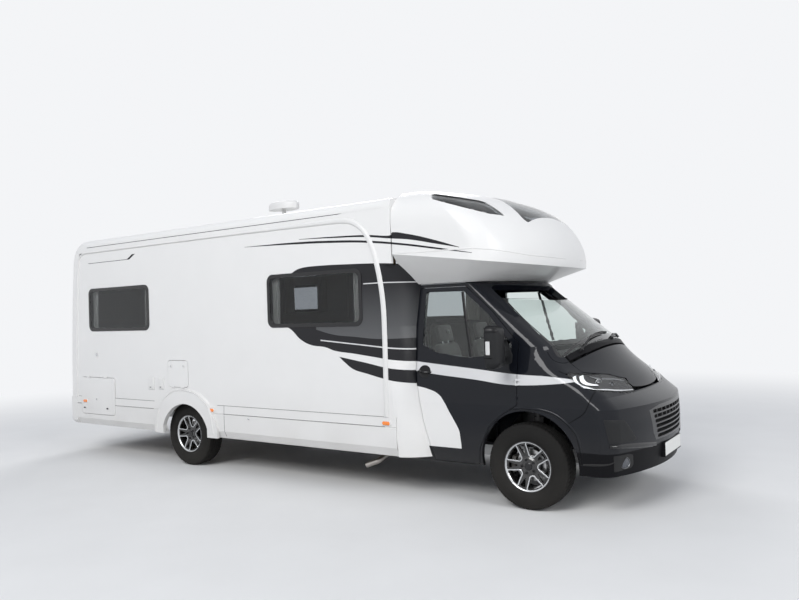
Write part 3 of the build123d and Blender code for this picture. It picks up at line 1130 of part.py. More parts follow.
# Engine as one plain block, radiator, exhaust line and underfloor tank
ENGINE_FOOT = CAB_FLOOR - CAB_FLOOR_THICK
ENGINE_LENGTH = 420.0
ENGINE_WIDTH = 840.0
ENGINE_HEIGHT = 540.0
with BuildPart() as engine:
    add(box_between((X_FRONT_AXLE + BULKHEAD_X + 30, -ENGINE_WIDTH / 2, ENGINE_FOOT),
                    (X_FRONT_AXLE + BULKHEAD_X + 30 + ENGINE_LENGTH, ENGINE_WIDTH / 2, ENGINE_FOOT + ENGINE_HEIGHT)))
save(engine, "engine")

with BuildPart() as radiator:
    add(box_between((X_FRONT_AXLE + 790, -400, 430), (X_FRONT_AXLE + 840, 400, 872)))
    for flip in (-1, 1):
        low, high = sorted((flip * RAIL_HALF_IN, flip * (RAIL_HALF_IN + RAIL_WIDTH)))
        add(box_between((X_FRONT_AXLE + 640 + SEAT_GAP, low, CAB_RAIL_LOW), (X_FRONT_AXLE + 791, high, 480)))
save(radiator, "radiator")

PIPE_RADIUS = 27.0
with BuildPart() as exhaust:
    with BuildLine() as run:
        FilletPolyline(
            (X_FRONT_AXLE + 300, -200, ENGINE_FOOT - SEAT_GAP), (X_FRONT_AXLE + 300, -200, 356),
            (X_FRONT_AXLE + 60, -250, 356), (X_FRONT_AXLE - 1440, -250, 356), (X_FRONT_AXLE - 1560, -520, 352),
            (X_FRONT_AXLE - 1590, -800, 330), (X_FRONT_AXLE - 1650, -915, 262), (X_FRONT_AXLE - 1780, -950, 212),
            radius=(40, 60, 90, 120, 60, 50),
        )
    with BuildSketch(Plane(origin=run.line @ 0, z_dir=run.line % 0)):
        Circle(PIPE_RADIUS)
    sweep()
    with BuildSketch(Plane.YZ.offset(X_FRONT_AXLE - 1020)):
        with Locations((-250, 352)):
            Ellipse(105, 62)
    extrude(amount=620)
save(exhaust, "exhaust")

with BuildPart() as tanks:
    for x_low, x_high, y_low, y_high, z_low in ((-2400, -1800, -380, 380, 262), (-3480, -2620, -360, 360, 330)):
        with BuildSketch(Plane.XY.offset(FLOOR_BOTTOM - SEAT_GAP)):
            with Locations((X_FRONT_AXLE + (x_low + x_high) / 2, (y_low + y_high) / 2)):
                RectangleRounded(x_high - x_low, y_high - y_low, 40)
        extrude(amount=-(FLOOR_BOTTOM - SEAT_GAP - z_low), taper=4)
save(tanks, "tanks")

# Cab interior
DASH_BACK = BULKHEAD_X - 20 - SEAT_GAP
with BuildPart() as dashboard:
    outline = [(DASH_BACK, 862), (DASH_BACK, 1290), (60, 1330), (-110, 1295), (-190, 1190), (-180, 1000), (-60, 880)]
    with BuildSketch(Plane.XZ.offset(-880)):
        Polygon(*at_front_axle(outline), align=None)
        fillet(vertices().sort_by(Axis.X)[:3], 30)
    extrude(amount=1760)
    fillet(edges().filter_by(Axis.Y, reverse=True).filter_by(lambda e: (e @ 0.5).X < X_FRONT_AXLE + 100), 18)
save(dashboard, "dashboard")

COLUMN_LENGTH = 330.0
with BuildPart() as steering_wheel:
    tilted = Plane(origin=(X_FRONT_AXLE - 395, -400, 1150), x_dir=(0, 1, 0), z_dir=(-cos(radians(62)), 0, sin(radians(62))))
    with BuildSketch(Plane(origin=tilted.origin, x_dir=tilted.x_dir, z_dir=tilted.y_dir)):
        with Locations((180, 0)):
            Circle(15)
    revolve(axis=Axis(tilted.origin, tilted.z_dir))
    with BuildSketch(tilted.offset(-22)):
        Circle(62)
        for turn in (0, 180, 270):
            with Locations(Location((0, 0, 0), (0, 0, turn))):
                with Locations((105, 0)):
                    Rectangle(150, 30)
    extrude(amount=18)
    with BuildSketch(tilted.offset(-COLUMN_LENGTH)):
        Circle(38)
    extrude(amount=COLUMN_LENGTH - 20)
    add(dashboard.part, mode=Mode.SUBTRACT)
save(steering_wheel, "steering_wheel")

SEAT_BACK_SHIFT = -75.0
SEAT_UNDERSIDE = 762.0
SEAT_OUTLINE = [(-500, 840), (-460, 800), (-480, SEAT_UNDERSIDE), (-960, SEAT_UNDERSIDE), (-1010, 800), (-1110, 1350), (-1130, 1560),
                (-1090, 1600), (-1030, 1590), (-1000, 1520), (-985, 1330), (-930, 905), (-880, 885), (-560, 905)]
with BuildPart() as cab_seats:
    for y in (-400, 400):
        with BuildSketch(Plane.XZ.offset(-(y + 240))):
            Polygon(*at_front_axle([(x + SEAT_BACK_SHIFT, z) for x, z in SEAT_OUTLINE]), align=None)
            fillet(vertices(), 18)
        extrude(amount=480)
        add(box_between((X_FRONT_AXLE - 1020, y - 200, CAB_FLOOR), (X_FRONT_AXLE - 590, y + 200, SEAT_UNDERSIDE + 10)))
save(cab_seats, "cab_seats")

# Coach interior: kitchen, washroom, bed platform, bench bases and lockers over the windows
INSIDE = WALL_HALF_WIDTH - WALL
FLOOR_TOP = FLOOR_BOTTOM + FLOOR_THICK
CEILING = RAIL_TOP - WALL
WHEEL_BOX_HALF = 441.0


def wheel_box_room(low, high):
    """The space that a rear wheel box needs in the furniture over it."""
    return box_between((X_REAR_AXLE - WHEEL_BOX_HALF, low, FLOOR_BOTTOM),
                       (X_REAR_AXLE + WHEEL_BOX_HALF, high, WHEEL_BOX_TOP))


with BuildPart() as washroom:
    add(box_between((X_FRONT_AXLE - 4700, -INSIDE, FLOOR_TOP), (X_FRONT_AXLE - 3700, -430, CEILING - 60)))
    add(box_between((X_FRONT_AXLE + RIGHT_HATCH[0] - 10, -INSIDE - 10, RIGHT_HATCH[2] - 10),
                    (X_FRONT_AXLE + RIGHT_HATCH[1] + 10, -INSIDE + 260, RIGHT_HATCH[3] + 10)), mode=Mode.SUBTRACT)
    add(wheel_box_room(-INSIDE - 1, 1 - WHEEL_BOX_IN), mode=Mode.SUBTRACT)
save(washroom, "washroom")

with BuildPart() as furniture:
    add(box_between((X_FRONT_AXLE - 4700, 560, FLOOR_TOP), (X_FRONT_AXLE - 3720, INSIDE, 1560)))
    add(wheel_box_room(WHEEL_BOX_IN - 1, INSIDE + 1), mode=Mode.SUBTRACT)
    add(box_between((X_FRONT_AXLE - 6440, -INSIDE, 1045), (X_FRONT_AXLE - 4880, INSIDE, 1085)))
    add(box_between((X_FRONT_AXLE - 4900, -TRAY_HALF_IN, FLOOR_TOP), (X_FRONT_AXLE - 4860, TRAY_HALF_IN, 1085)))
    for low, high in ((600, INSIDE), (-INSIDE, -600)):
        add(box_between((X_FRONT_AXLE - 2950, low, FLOOR_TOP), (X_FRONT_AXLE - 1560, high, 1060)))
    for low, high in ((840, INSIDE), (-INSIDE, -840)):
        add(box_between((X_FRONT_AXLE - 2950, low, 2290), (X_FRONT_AXLE - 1560, high, 2640)))
        add(box_between((X_FRONT_AXLE - 6200, low, 2290), (X_FRONT_AXLE - 4880, high, 2640)))
save(furniture, "furniture")

with BuildPart() as lounge_cushions:
    for flip in (-1, 1):
        low, high = sorted((flip * 590, flip * (INSIDE - 130)))
        add(box_between((X_FRONT_AXLE - 2940, low, 1060 + SEAT_GAP), (X_FRONT_AXLE - 1570, high, 1190)))
        low, high = sorted((flip * (INSIDE - 125), flip * (INSIDE - 45)))
        add(box_between((X_FRONT_AXLE - 2940, low, 1060 + SEAT_GAP), (X_FRONT_AXLE - 1570, high, 1580)))
with BuildPart() as mattress:
    add(box_between((X_FRONT_AXLE - 6380, -INSIDE + 60, 1085 + SEAT_GAP), (X_FRONT_AXLE - 4900, INSIDE - 60, 1225)))
    fillet(edges(), 30)
with BuildPart() as cushions:
    add(lounge_cushions.part)
    add(mattress.part)
save(cushions, "cushions")

# Coach windows: frames in the walls, panes in the frames, curtains behind their ends
with BuildPart() as window_frames:
    for windows, side in ((RIGHT_WINDOWS, -1), (LEFT_WINDOWS, 1)):
        for window in windows:
            ring = right_block(window_outline(window), INSIDE - FRAME_INWARD, WALL_HALF_WIDTH, WINDOW_RADIUS)
            flange = right_block(window_outline(window, 10), WALL_HALF_WIDTH, WALL_HALF_WIDTH + FRAME_PROUD, WINDOW_RADIUS + 10)
            hole = right_block(window_outline(window, -WINDOW_FRAME), WALL_HALF_WIDTH - 100, WALL_HALF_WIDTH + 50,
                               WINDOW_RADIUS - 20)
            frame = (ring + flange) - hole
            add(frame if side < 0 else frame.mirror(Plane.XZ))
save(window_frames, "window_frames")
with BuildPart() as window_panes:
    for windows, side in ((RIGHT_WINDOWS, -1), (LEFT_WINDOWS, 1)):
        for window in windows:
            pane = right_block(window_outline(window, -WINDOW_FRAME), WALL_HALF_WIDTH - PANE_HALF, WALL_HALF_WIDTH + PANE_HALF, WINDOW_RADIUS - 20)
            add(pane if side < 0 else pane.mirror(Plane.XZ))
CURTAIN_FACE = INSIDE - FRAME_INWARD - SEAT_GAP
CURTAIN_THICK = 18.0
with BuildPart() as curtains:
    for windows, side in ((RIGHT_WINDOWS, -1), (LEFT_WINDOWS, 1)):
        for x_rear, x_front, z_low, z_high in windows:
            for x_low in (x_rear - 60, x_front - 130):
                strip = right_block([(x_low, z_low - 25), (x_low + 190, z_low - 25), (x_low + 190, 2280), (x_low, 2280)],
                                    CURTAIN_FACE - CURTAIN_THICK, CURTAIN_FACE)
                add(strip if side < 0 else strip.mirror(Plane.XZ))
save(curtains, "curtains")

# Pod glazing: the pod's own skin inside the window outlines, set in a little
pod_glass_block = pod_loft(6.0)
pod_glass_core = pod_loft(6.0 + POD_PANE)
with BuildPart() as pod_windows:
    add(pod_glass_block)
    add(pod_glass_core, mode=Mode.SUBTRACT)
    cut = side_prism(SLIVER, SLIVER_HALF_IN, WALL_HALF_WIDTH + 40, radius=12)
    add(cut + skylight_prism(0), mode=Mode.INTERSECT)
with BuildPart() as all_panes:
    add(window_panes.part)
    add(pod_windows.part)
save(all_panes, "window_panes")

# Doors and lids of the coach
LID_EDGE = 3.0
for name, outline, side, proud, hinges in (
    ("locker_door_right", RIGHT_LOCKER, -1, LOCKER_PROUD, locker_hinges),
    ("service_door_right", RIGHT_HATCH, -1, HATCH_PROUD, hatch_hinges),
    ("gas_door_left", LEFT_GAS_LOCKER, 1, LOCKER_PROUD, gas_hinges),
):
    with BuildPart() as lid:
        add(right_block(window_outline(outline), WALL_HALF_WIDTH - WALL + 2, WALL_HALF_WIDTH + proud, DOOR_RADIUS))
        fillet(faces().sort_by(Axis.Y)[0].edges(), LID_EDGE)
        for _, moving in hinges:
            add(moving)
        if side > 0:
            mirror(about=Plane.XZ, mode=Mode.REPLACE)
    save(lid, name)
with BuildPart() as entry_door:
    add(right_block(window_outline(ENTRY_DOOR), WALL_HALF_WIDTH - WALL + 2, WALL_HALF_WIDTH + ENTRY_PROUD, DOOR_RADIUS))
    fillet(faces().sort_by(Axis.Y)[0].edges(), LID_EDGE)
    for _, moving in entry_hinges:
        add(moving)
    add(right_block(window_outline(ENTRY_WINDOW), WALL_HALF_WIDTH - 100, WALL_HALF_WIDTH + 100, 60), mode=Mode.SUBTRACT)
    mirror(about=Plane.XZ, mode=Mode.REPLACE)
save(entry_door, "entry_door")
with BuildPart() as entry_window:
    add(right_block(window_outline(ENTRY_WINDOW), WALL_HALF_WIDTH - 2, WALL_HALF_WIDTH + ENTRY_PROUD + 2, 60))
    mirror(about=Plane.XZ, mode=Mode.REPLACE)
save(entry_window, "entry_window")
with BuildPart() as entry_step:
    add(box_between((X_FRONT_AXLE + ENTRY_DOOR[0] + 30, 470, FLOOR_BOTTOM - 45), (X_FRONT_AXLE + ENTRY_DOOR[1] - 30, 1120, FLOOR_BOTTOM - SEAT_GAP)))
    add(box_between((X_FRONT_AXLE + ENTRY_DOOR[0] + 50, 840, FLOOR_BOTTOM - 130), (X_FRONT_AXLE + ENTRY_DOOR[1] - 50, 1110, FLOOR_BOTTOM - 90)))
    for x in (ENTRY_DOOR[0] + 60, ENTRY_DOOR[1] - 80):
        add(box_between((X_FRONT_AXLE + x, 860, FLOOR_BOTTOM - 95), (X_FRONT_AXLE + x + 20, 1000, FLOOR_BOTTOM - 40)))
save(entry_step, "entry_step")

# Rooflight lids, aerial, rear lamps and small side fittings
LID_HEIGHT = 46.0
for (x, length, width), place in zip(ROOFLIGHTS, ("rear", "front")):
    with BuildPart() as lid:
        with BuildSketch(Plane.XY.offset(RAIL_TOP + ROOFLIGHT_UPSTAND + SEAT_GAP)):
            with Locations((X_FRONT_AXLE + x, 0)):
                RectangleRounded(length + 90, width + 90, 55)
        extrude(amount=LID_HEIGHT, taper=22)
    save(lid, f"rooflight_{place}")
with BuildPart() as aerial:
    with BuildSketch(Plane.XY.offset(RAIL_TOP)):
        with Locations((X_FRONT_AXLE - 3420, -300)):
            Circle(90)
    extrude(amount=30)
    with BuildSketch(Plane.XY.offset(RAIL_TOP)):
        with Locations((X_FRONT_AXLE - 3420, -300)):
            Circle(26)
    extrude(amount=200)
    with BuildSketch(Plane.XY.offset(RAIL_TOP + 200)):
        with Locations((X_FRONT_AXLE - 3420, -300)):
            Ellipse(225, 120)
    extrude(amount=90)
    fillet(edges().group_by(Axis.Z)[-1], 40)
save(aerial, "aerial")

LAMP_PROUD = 14.0
with BuildPart() as rear_lamps:
    add(coach_outer.moved(Location((-LAMP_PROUD, 0, 0))))
    add(coach_outer, mode=Mode.SUBTRACT)
    clusters = box_between((X_REAR - 100, 905, 830), (X_REAR + 200, 1050, 1330))
    add(clusters + clusters.mirror(Plane.XZ) + box_between((X_REAR - 100, -210, 2330), (X_REAR + 300, 210, 2365)),
        mode=Mode.INTERSECT)
save(rear_lamps, "rear_lamps")
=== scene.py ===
import math

import bpy
import numpy as np
from mathutils import Matrix, Vector


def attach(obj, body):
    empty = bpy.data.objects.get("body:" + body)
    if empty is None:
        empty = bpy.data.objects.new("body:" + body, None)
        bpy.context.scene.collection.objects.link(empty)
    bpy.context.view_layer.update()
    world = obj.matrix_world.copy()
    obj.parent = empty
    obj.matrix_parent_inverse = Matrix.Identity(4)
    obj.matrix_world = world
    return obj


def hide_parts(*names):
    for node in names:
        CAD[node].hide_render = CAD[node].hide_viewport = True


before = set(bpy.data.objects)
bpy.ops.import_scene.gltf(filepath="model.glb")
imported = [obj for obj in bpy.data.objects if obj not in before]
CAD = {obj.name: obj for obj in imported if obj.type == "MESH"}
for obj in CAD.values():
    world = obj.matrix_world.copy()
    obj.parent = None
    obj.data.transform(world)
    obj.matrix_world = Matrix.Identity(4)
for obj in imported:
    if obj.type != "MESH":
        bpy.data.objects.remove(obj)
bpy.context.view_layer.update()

# The vehicle's own places, in metres. Tables below give x from the front axle.
FRONT_AXLE = 2.8775
REAR_AXLE = -1.4425
AXLE_HEIGHT = 0.372
WALL_Y = 1.170
SKIRT_DOOR_Y = 1.1815
HATCH_Y = 1.1765
HALF_TRACKS = {"front": 0.905, "rear": 0.990}
REAR_PLATE_HEIGHT = 0.560
BUMPER_FACE_X = -6.60
SCREEN_LEAN = math.radians(38.6)
SIDES = ((-1, "right"), (1, "left"))


# ---- meshes ----------------------------------------------------------------------------------

def grid_faces(rows, cols, wrap_rows=False, wrap_cols=False):
    """Quads of a rows by cols grid of points, joined at its ends where it wraps."""
    r = np.arange(rows if wrap_rows else rows - 1)
    c = np.arange(cols if wrap_cols else cols - 1)
    i, j = np.meshgrid(r, c, indexing="ij")
    i, j = i.ravel(), j.ravel()
    i2, j2 = (i + 1) % rows, (j + 1) % cols
    return np.stack([i * cols + j, i * cols + j2, i2 * cols + j2, i2 * cols + j], axis=1)


def cap_faces(ring, centre, flip):
    """Triangles from a ring of point numbers to a centre point."""
    nxt = np.roll(ring, -1)
    tris = np.stack([ring, nxt, np.full_like(ring, centre)], axis=1)
    return tris[:, ::-1] if flip else tris


def turned_out(points, faces, closed):
    """Reverses all faces if a closed shell's signed volume is below zero."""
    if not closed:
        return faces
    fan = np.concatenate([np.stack([f[:, 0], f[:, k], f[:, k + 1]], axis=1)
                          for f in faces for k in range(1, f.shape[1] - 1)])
    a, b, c = points[fan[:, 0]], points[fan[:, 1]], points[fan[:, 2]]
    volume = np.einsum("ij,ij->i", a, np.cross(b, c)).sum()
    return [f[:, ::-1] for f in faces] if volume < 0 else faces


def piece(name, points, faces, material, body="root", closed=True, smooth=True, sharp=None):
    """Puts a shape's points and faces in a mesh object that rides on a body."""
    points = np.asarray(points, dtype=float).reshape(-1, 3)
    faces = turned_out(points, faces, closed)
    mesh = bpy.data.meshes.new(name)
    mesh.from_pydata(points.tolist(), [], [f for block in faces for f in block.tolist()])
    mesh.materials.append(material)
    mesh.polygons.foreach_set("use_smooth", [smooth] * len(mesh.polygons))
    if sharp is not None:
        mesh.set_sharp_from_angle(angle=math.radians(sharp))
    mesh.update()
    made = bpy.data.objects.new(name, mesh)
    bpy.context.scene.collection.objects.link(made)
    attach(made, body)
    return made


def rings_piece(name, rings, material, body="root", sharp=35):
    """A closed shell through rings of points (rings, around, 3), each end closed at its centre."""
    rings = np.asarray(rings, dtype=float)
    rows, cols = rings.shape[:2]
    points = np.concatenate([rings.reshape(-1, 3), rings[0].mean(0)[None], rings[-1].mean(0)[None]])
    first = np.arange(cols)
    last = (rows - 1) * cols + np.arange(cols)
    faces = [grid_faces(rows, cols, wrap_cols=True), cap_faces(first, rows * cols, False),
             cap_faces(last, rows * cols + 1, True)]
    return piece(name, points, faces, material, body, sharp=sharp)


def smooth_path(points, count):
    """A path through points, by Catmull-Rom pieces, sampled evenly along its length."""
    p = np.asarray(points, dtype=float)
    ends = np.concatenate([[2 * p[0] - p[1]], p, [2 * p[-1] - p[-2]]])
    t = np.linspace(0, len(p) - 1, 40 * len(p))
    k = np.minimum(t.astype(int), len(p) - 2)
    u = (t - k)[:, None]
    a, b, c, d = ends[k], ends[k + 1], ends[k + 2], ends[k + 3]
    curve = 0.5 * (2 * b + (c - a) * u + (2 * a - 5 * b + 4 * c - d) * u**2 + (3 * b - a - 3 * c + d) * u**3)
    run = np.concatenate([[0], np.cumsum(np.linalg.norm(np.diff(curve, axis=0), axis=1))])
    even = np.linspace(0, run[-1], count)
    return np.stack([np.interp(even, run, curve[:, i]) for i in range(curve.shape[1])], axis=1)


def spread(values, count):
    """A few values, or one, spread evenly over a number of places."""
    values = np.atleast_1d(values)
    return np.interp(np.linspace(0, 1, count), np.linspace(0, 1, len(values)), values)


def across_path(path):
    """Unit vectors square to a flat path."""
    along = np.gradient(path, axis=0)
    along /= np.maximum(np.linalg.norm(along, axis=1)[:, None], 1e-9)
    return np.stack([-along[:, 1], along[:, 0]], axis=1)


def moulding(name, path, widths, height, side, material, y=WALL_Y, body="root", count=90):
    """A half-round moulding on a side wall. Its section is a raised cosine arch of the given
    height over its width, carried along a path of (x from the axle, height), with a flat back."""
    path = smooth_path(path, count)
    width, across = spread(widths, count), across_path(path)
    v = np.linspace(-1, 1, 13)
    lift = height * (1 - np.abs(v) ** 3.2)
    v, lift = np.append(v, [0.6, -0.6]), np.append(lift, [-0.0008, -0.0008])
    place = path[:, None, :] + across[:, None, :] * (v[None, :, None] * width[:, None, None] / 2)
    rings = np.empty((count, len(v), 3))
    rings[..., 0] = FRONT_AXLE + place[..., 0]
    rings[..., 1] = side * (y + lift[None, :])
    rings[..., 2] = place[..., 1]
    return rings_piece(name, rings, material, body)


def rounded_outline(a, b, corner, count=64):
    """Points round a rectangle of half sizes a and b, with its corners rounded by a radius."""
    t = (np.arange(count) + 0.5) / count * 2 * np.pi
    c, s = np.cos(t), np.sin(t)
    quarter = np.arctan2(np.abs(s), np.abs(c))
    x = np.sign(c) * (a - corner + corner * np.cos(quarter))
    y = np.sign(s) * (b - corner + corner * np.sin(quarter))
    return np.stack([x, y], axis=1)


def slab(name, centre, out, up, half, corner, profile, material, body="root", count=64, sharp=35):
    """A pressed or moulded pad. Rings of one rounded outline shrink by each profile row's inset and
    stand at its height above the seat: columns inset, height. Out is the way it faces."""
    centre, out = np.asarray(centre, float), np.asarray(out, float)
    out /= np.linalg.norm(out)
    right = np.cross(np.asarray(up, float), out)
    right /= np.linalg.norm(right)
    top = np.cross(out, right)
    rings = []
    for inset, height in profile:
        ring = rounded_outline(half[0] - inset, half[1] - inset, max(corner - inset, 0.0004), count)
        rings.append(centre + ring[:, :1] * right + ring[:, 1:] * top + height * out)
    return rings_piece(name, rings, material, body, sharp)


def side_slab(name, x, z, y, side, half, corner, profile, material, body="root"):
    """A pad that faces out from a side: x from the axle, height, and how far out its seat is."""
    return slab(name, (FRONT_AXLE + x, side * y, z), (0, side, 0), (0, 0, 1), half, corner, profile, material,
                body)


def turned(name, centre, axis, profile, material, body="root", count=48, sharp=35, start=0.0):
    """A turned piece: the profile's rows of radius and height go round the axis."""
    centre, axis = np.asarray(centre, float), np.asarray(axis, float)
    axis /= np.linalg.norm(axis)
    side = np.cross(axis, (0, 0, 1) if abs(axis[2]) < 0.9 else (1, 0, 0))
    side /= np.linalg.norm(side)
    other = np.cross(axis, side)
    t = np.arange(count) / count * 2 * np.pi + start
    ring = np.cos(t)[:, None] * side + np.sin(t)[:, None] * other
    rings = [centre + radius * ring + height * axis for radius, height in profile]
    return rings_piece(name, rings, material, body, sharp)


def rod(name, path, radius, material, body="root", count=40, around=12, flat=1.0):
    """A round or flattened bar carried along a smooth path through 3-D points."""
    path = smooth_path(path, count)
    along = np.gradient(path, axis=0)
    along /= np.linalg.norm(along, axis=1)[:, None]
    ref = np.array((0.0, 0.0, 1.0)) if abs(along[:, 2]).mean() < 0.8 else np.array((1.0, 0.0, 0.0))
    side = np.cross(along, ref)
    side /= np.linalg.norm(side, axis=1)[:, None]
    up = np.cross(side, along)
    radius = spread(radius, count)
    t = np.arange(around) / around * 2 * np.pi
    rings = path[:, None] + radius[:, None, None] * (
        np.cos(t)[None, :, None] * side[:, None] + flat * np.sin(t)[None, :, None] * up[:, None])
    return rings_piece(name, rings, material, body)


# ---- laying pieces on the CAD's curved skins ---------------------------------------------------

SKINS = {}
REACH = 2.8


def skin_of(names):
    """The triangles of some CAD nodes, as an array of three corners each."""
    found = []
    for name in names:
        if name not in SKINS:
            mesh = CAD[name].data
            mesh.calc_loop_triangles()
            places = np.empty(3 * len(mesh.vertices))
            mesh.vertices.foreach_get("co", places)
            numbers = np.empty(3 * len(mesh.loop_triangles), dtype=np.int32)
            mesh.loop_triangles.foreach_get("vertices", numbers)
            SKINS[name] = places.reshape(-1, 3)[numbers.reshape(-1, 3)]
        found.append(SKINS[name])
    return np.concatenate(found)


def turned_area(a, b):
    """Twice the signed area between two flat vectors."""
    return a[..., 0] * b[..., 1] - a[..., 1] * b[..., 0]


def met(names, starts, way):
    """Where parallel lines first meet the skins of CAD nodes. Seen along the lines, a point p is in
    a triangle a, b, c where p = a + r (b - a) + s (c - a) with r, s and 1 - r - s above zero, and
    its depth is made of the corners' depths in the same shares. The least depth within reach is
    kept, so no line goes on to the vehicle's far side. A line that misses takes the meeting point
    of the nearest line that doesn't."""
    way = np.asarray(way, float)
    starts = np.array(starts, float)
    shape, starts = starts.shape, starts.reshape(-1, 3)
    one = np.cross(way, (0.0, 0.0, 1.0) if abs(way[2]) < 0.8 else (1.0, 0.0, 0.0))
    one /= np.linalg.norm(one)
    axes = np.stack([one, np.cross(way, one)], axis=1)
    skin = skin_of(names)
    flat, deep = skin @ axes, skin @ way
    low, high = flat.min(axis=1), flat.max(axis=1)
    spots, begin = starts @ axes, starts @ way
    depth = np.full(len(starts), np.inf)
    for first in range(0, len(starts), 120):
        p = spots[first:first + 120]
        near = ((high >= p.min(0)) & (low <= p.max(0))).all(axis=1)
        if not near.any():
            continue
        (a, b, c), d = flat[near].transpose(1, 0, 2), deep[near]
        area = turned_area(b - a, c - a)
        area = np.where(np.abs(area) < 1e-12, np.nan, area)
        r = turned_area(p[:, None] - a, c - a) / area
        s = turned_area(b - a, p[:, None] - a) / area
        t = d[:, 0] + r * (d[:, 1] - d[:, 0]) + s * (d[:, 2] - d[:, 0]) - begin[first:first + 120, None]
        hit = (r > -1e-4) & (s > -1e-4) & (r + s < 1 + 1e-4) & (t > 0) & (t < REACH)
        depth[first:first + 120] = np.where(hit, t, np.inf).min(axis=1)
    good = np.isfinite(depth)
    if not good.all():
        nearest = np.linalg.norm(spots[~good][:, None] - spots[good][None], axis=2).argmin(axis=1)
        depth[~good] = depth[good][nearest]
        starts[~good] = starts[good][nearest]
    return (starts + depth[:, None] * way).reshape(shape)


def seen_from(view, side=-1):
    """A view is a function from two coordinates to a line: side is (x from the axle, height),
    front is (y, height), top is (x from the axle, y), screen is (up the slope, y), and corner is
    (across, height) looking at a front corner."""
    def lines(u, v):
        u, v = np.asarray(u, float), np.asarray(v, float)
        zero = np.zeros_like(u)
        if view == "side":
            return np.stack([FRONT_AXLE + u, zero + side * 3.0, v], -1), (0.0, -side, 0.0)
        if view == "front":
            return np.stack([zero + 6.0, u, v], -1), (-1.0, 0.0, 0.0)
        if view == "rear":
            return np.stack([zero - 6.0, u, v], -1), (1.0, 0.0, 0.0)
        if view == "top":
            return np.stack([FRONT_AXLE + u, v, zero + 4.0], -1), (0.0, 0.0, -1.0)
        if view == "screen":
            along = np.array((-math.cos(SCREEN_LEAN), 0, math.sin(SCREEN_LEAN)))
            out = np.array((math.sin(SCREEN_LEAN), 0, math.cos(SCREEN_LEAN)))
            base = np.array((FRONT_AXLE + 0.078, 0.0, 1.697)) + 0.6 * out
            return base + u[..., None] * along + v[..., None] * np.array((0.0, 1.0, 0.0)), -out
        out, along = np.array((0.643, side * 0.766, 0.0)), np.array((0.766, -side * 0.643, 0.0))
        base = np.array((FRONT_AXLE + 0.6, side * 0.8, 0.0)) + 2.0 * out
        return base + u[..., None] * along + v[..., None] * np.array((0.0, 0.0, 1.0)), -out
    return lines


def laid_strip(name, path, widths, section, nodes, view, material, body="root", count=80, sharp=40,
               round_path=True):
    """A strip laid on a skin. The section's rows of (across, lift), across from -1 to 1 and lift
    in metres towards the viewer, go along a path drawn in the view, and each point then drops on
    the skin along the view's line."""
    path = np.asarray(path, float)
    path = smooth_path(path, count) if round_path else path
    count = len(path)
    width, across = spread(widths, count), across_path(path)
    section = np.asarray(section, float)
    place = path[:, None] + across[:, None] * (section[None, :, :1] * width[:, None, None] / 2)
    starts, way = view(place[..., 0], place[..., 1])
    rings = met(nodes, starts, way) - section[None, :, 1:] * np.asarray(way)
    return rings_piece(name, rings, material, body, sharp)


def laid_pad(name, outline, rows, nodes, view, material, body="root", count=96, sharp=40, rounding=1):
    """A pad laid on a skin. Its outline, drawn in the view, is sampled evenly and its corners are
    rounded by averaging neighbours. Rings of it shrink towards the middle by each row's share and
    stand at the row's lift."""
    corner = np.asarray(outline, float)
    closed = np.concatenate([corner, corner[:1]])
    run = np.concatenate([[0], np.cumsum(np.linalg.norm(np.diff(closed, axis=0), axis=1))])
    even = np.linspace(0, run[-1], count, endpoint=False)
    ring = np.stack([np.interp(even, run, closed[:, i]) for i in (0, 1)], axis=1)
    for _ in range(rounding):
        ring = (np.roll(ring, 1, 0) + 2 * ring + np.roll(ring, -1, 0)) / 4
    middle = ring.mean(0)
    rings = []
    for share, lift in rows:
        place = middle + (ring - middle) * share
        starts, way = view(place[:, 0], place[:, 1])
        rings.append(met(nodes, starts, way) - lift * np.asarray(way))
    return rings_piece(name, rings, material, body, sharp)


FLAT_SECTION = [(-1.0, -0.002), (-1.0, 0.0006), (-0.5, 0.0009), (0.5, 0.0009), (1.0, 0.0006), (1.0, -0.002)]


def bead_section(height, back=-0.002, power=3.0, count=11):
    """A half-round bead: lift = height (1 - |across| ^ power), closed by a flat back."""
    v = np.linspace(-1, 1, count)
    return np.concatenate([np.stack([v, height * (1 - np.abs(v) ** power)], 1), [(0.9, back), (-0.9, back)]])


def pad_rows(height, edge=0.03, back=-0.003):
    """Rows for a pad with a softly rounded rim: its share of the outline and its lift."""
    return [(1.0, back), (1.0, 0.45 * height), (1 - 0.3 * edge, 0.85 * height), (1 - edge, height), (0.80,
            height),
            (0.55, height), (0.28, height), (0.08, height)]


# ---- materials -------------------------------------------------------------------------------

def new_group(name, inputs, outputs):
    """An empty shader group with its named sockets, and its two end nodes."""
    group = bpy.data.node_groups.new(name, "ShaderNodeTree")
    for label, kind, value in inputs:
        socket = group.interface.new_socket(name=label, in_out="INPUT", socket_type=kind)
        socket.default_value = value
    for label, kind in outputs:
        group.interface.new_socket(name=label, in_out="OUTPUT", socket_type=kind)
    return group, group.nodes.new("NodeGroupInput"), group.nodes.new("NodeGroupOutput")


def wired(tree, kind, inputs=None, **settings):
    """A node with its settings, and its inputs set to values or joined to sockets."""
    node = tree.nodes.new(kind)
    for key, value in settings.items():
        setattr(node, key, value)
    for key, value in (inputs or {}).items():
        if isinstance(value, bpy.types.NodeSocket):
            tree.links.new(value, node.inputs[key])
        else:
            node.inputs[key].default_value = value
    return node


def shader_of(tree):
    """The principled shader of a material."""
    return next(n for n in tree.nodes if n.type == "BSDF_PRINCIPLED")


def spot_of(tree):
    """Where a shaded point lies, in the object's own metres."""
    return wired(tree, "ShaderNodeTexCoord").outputs["Object"]


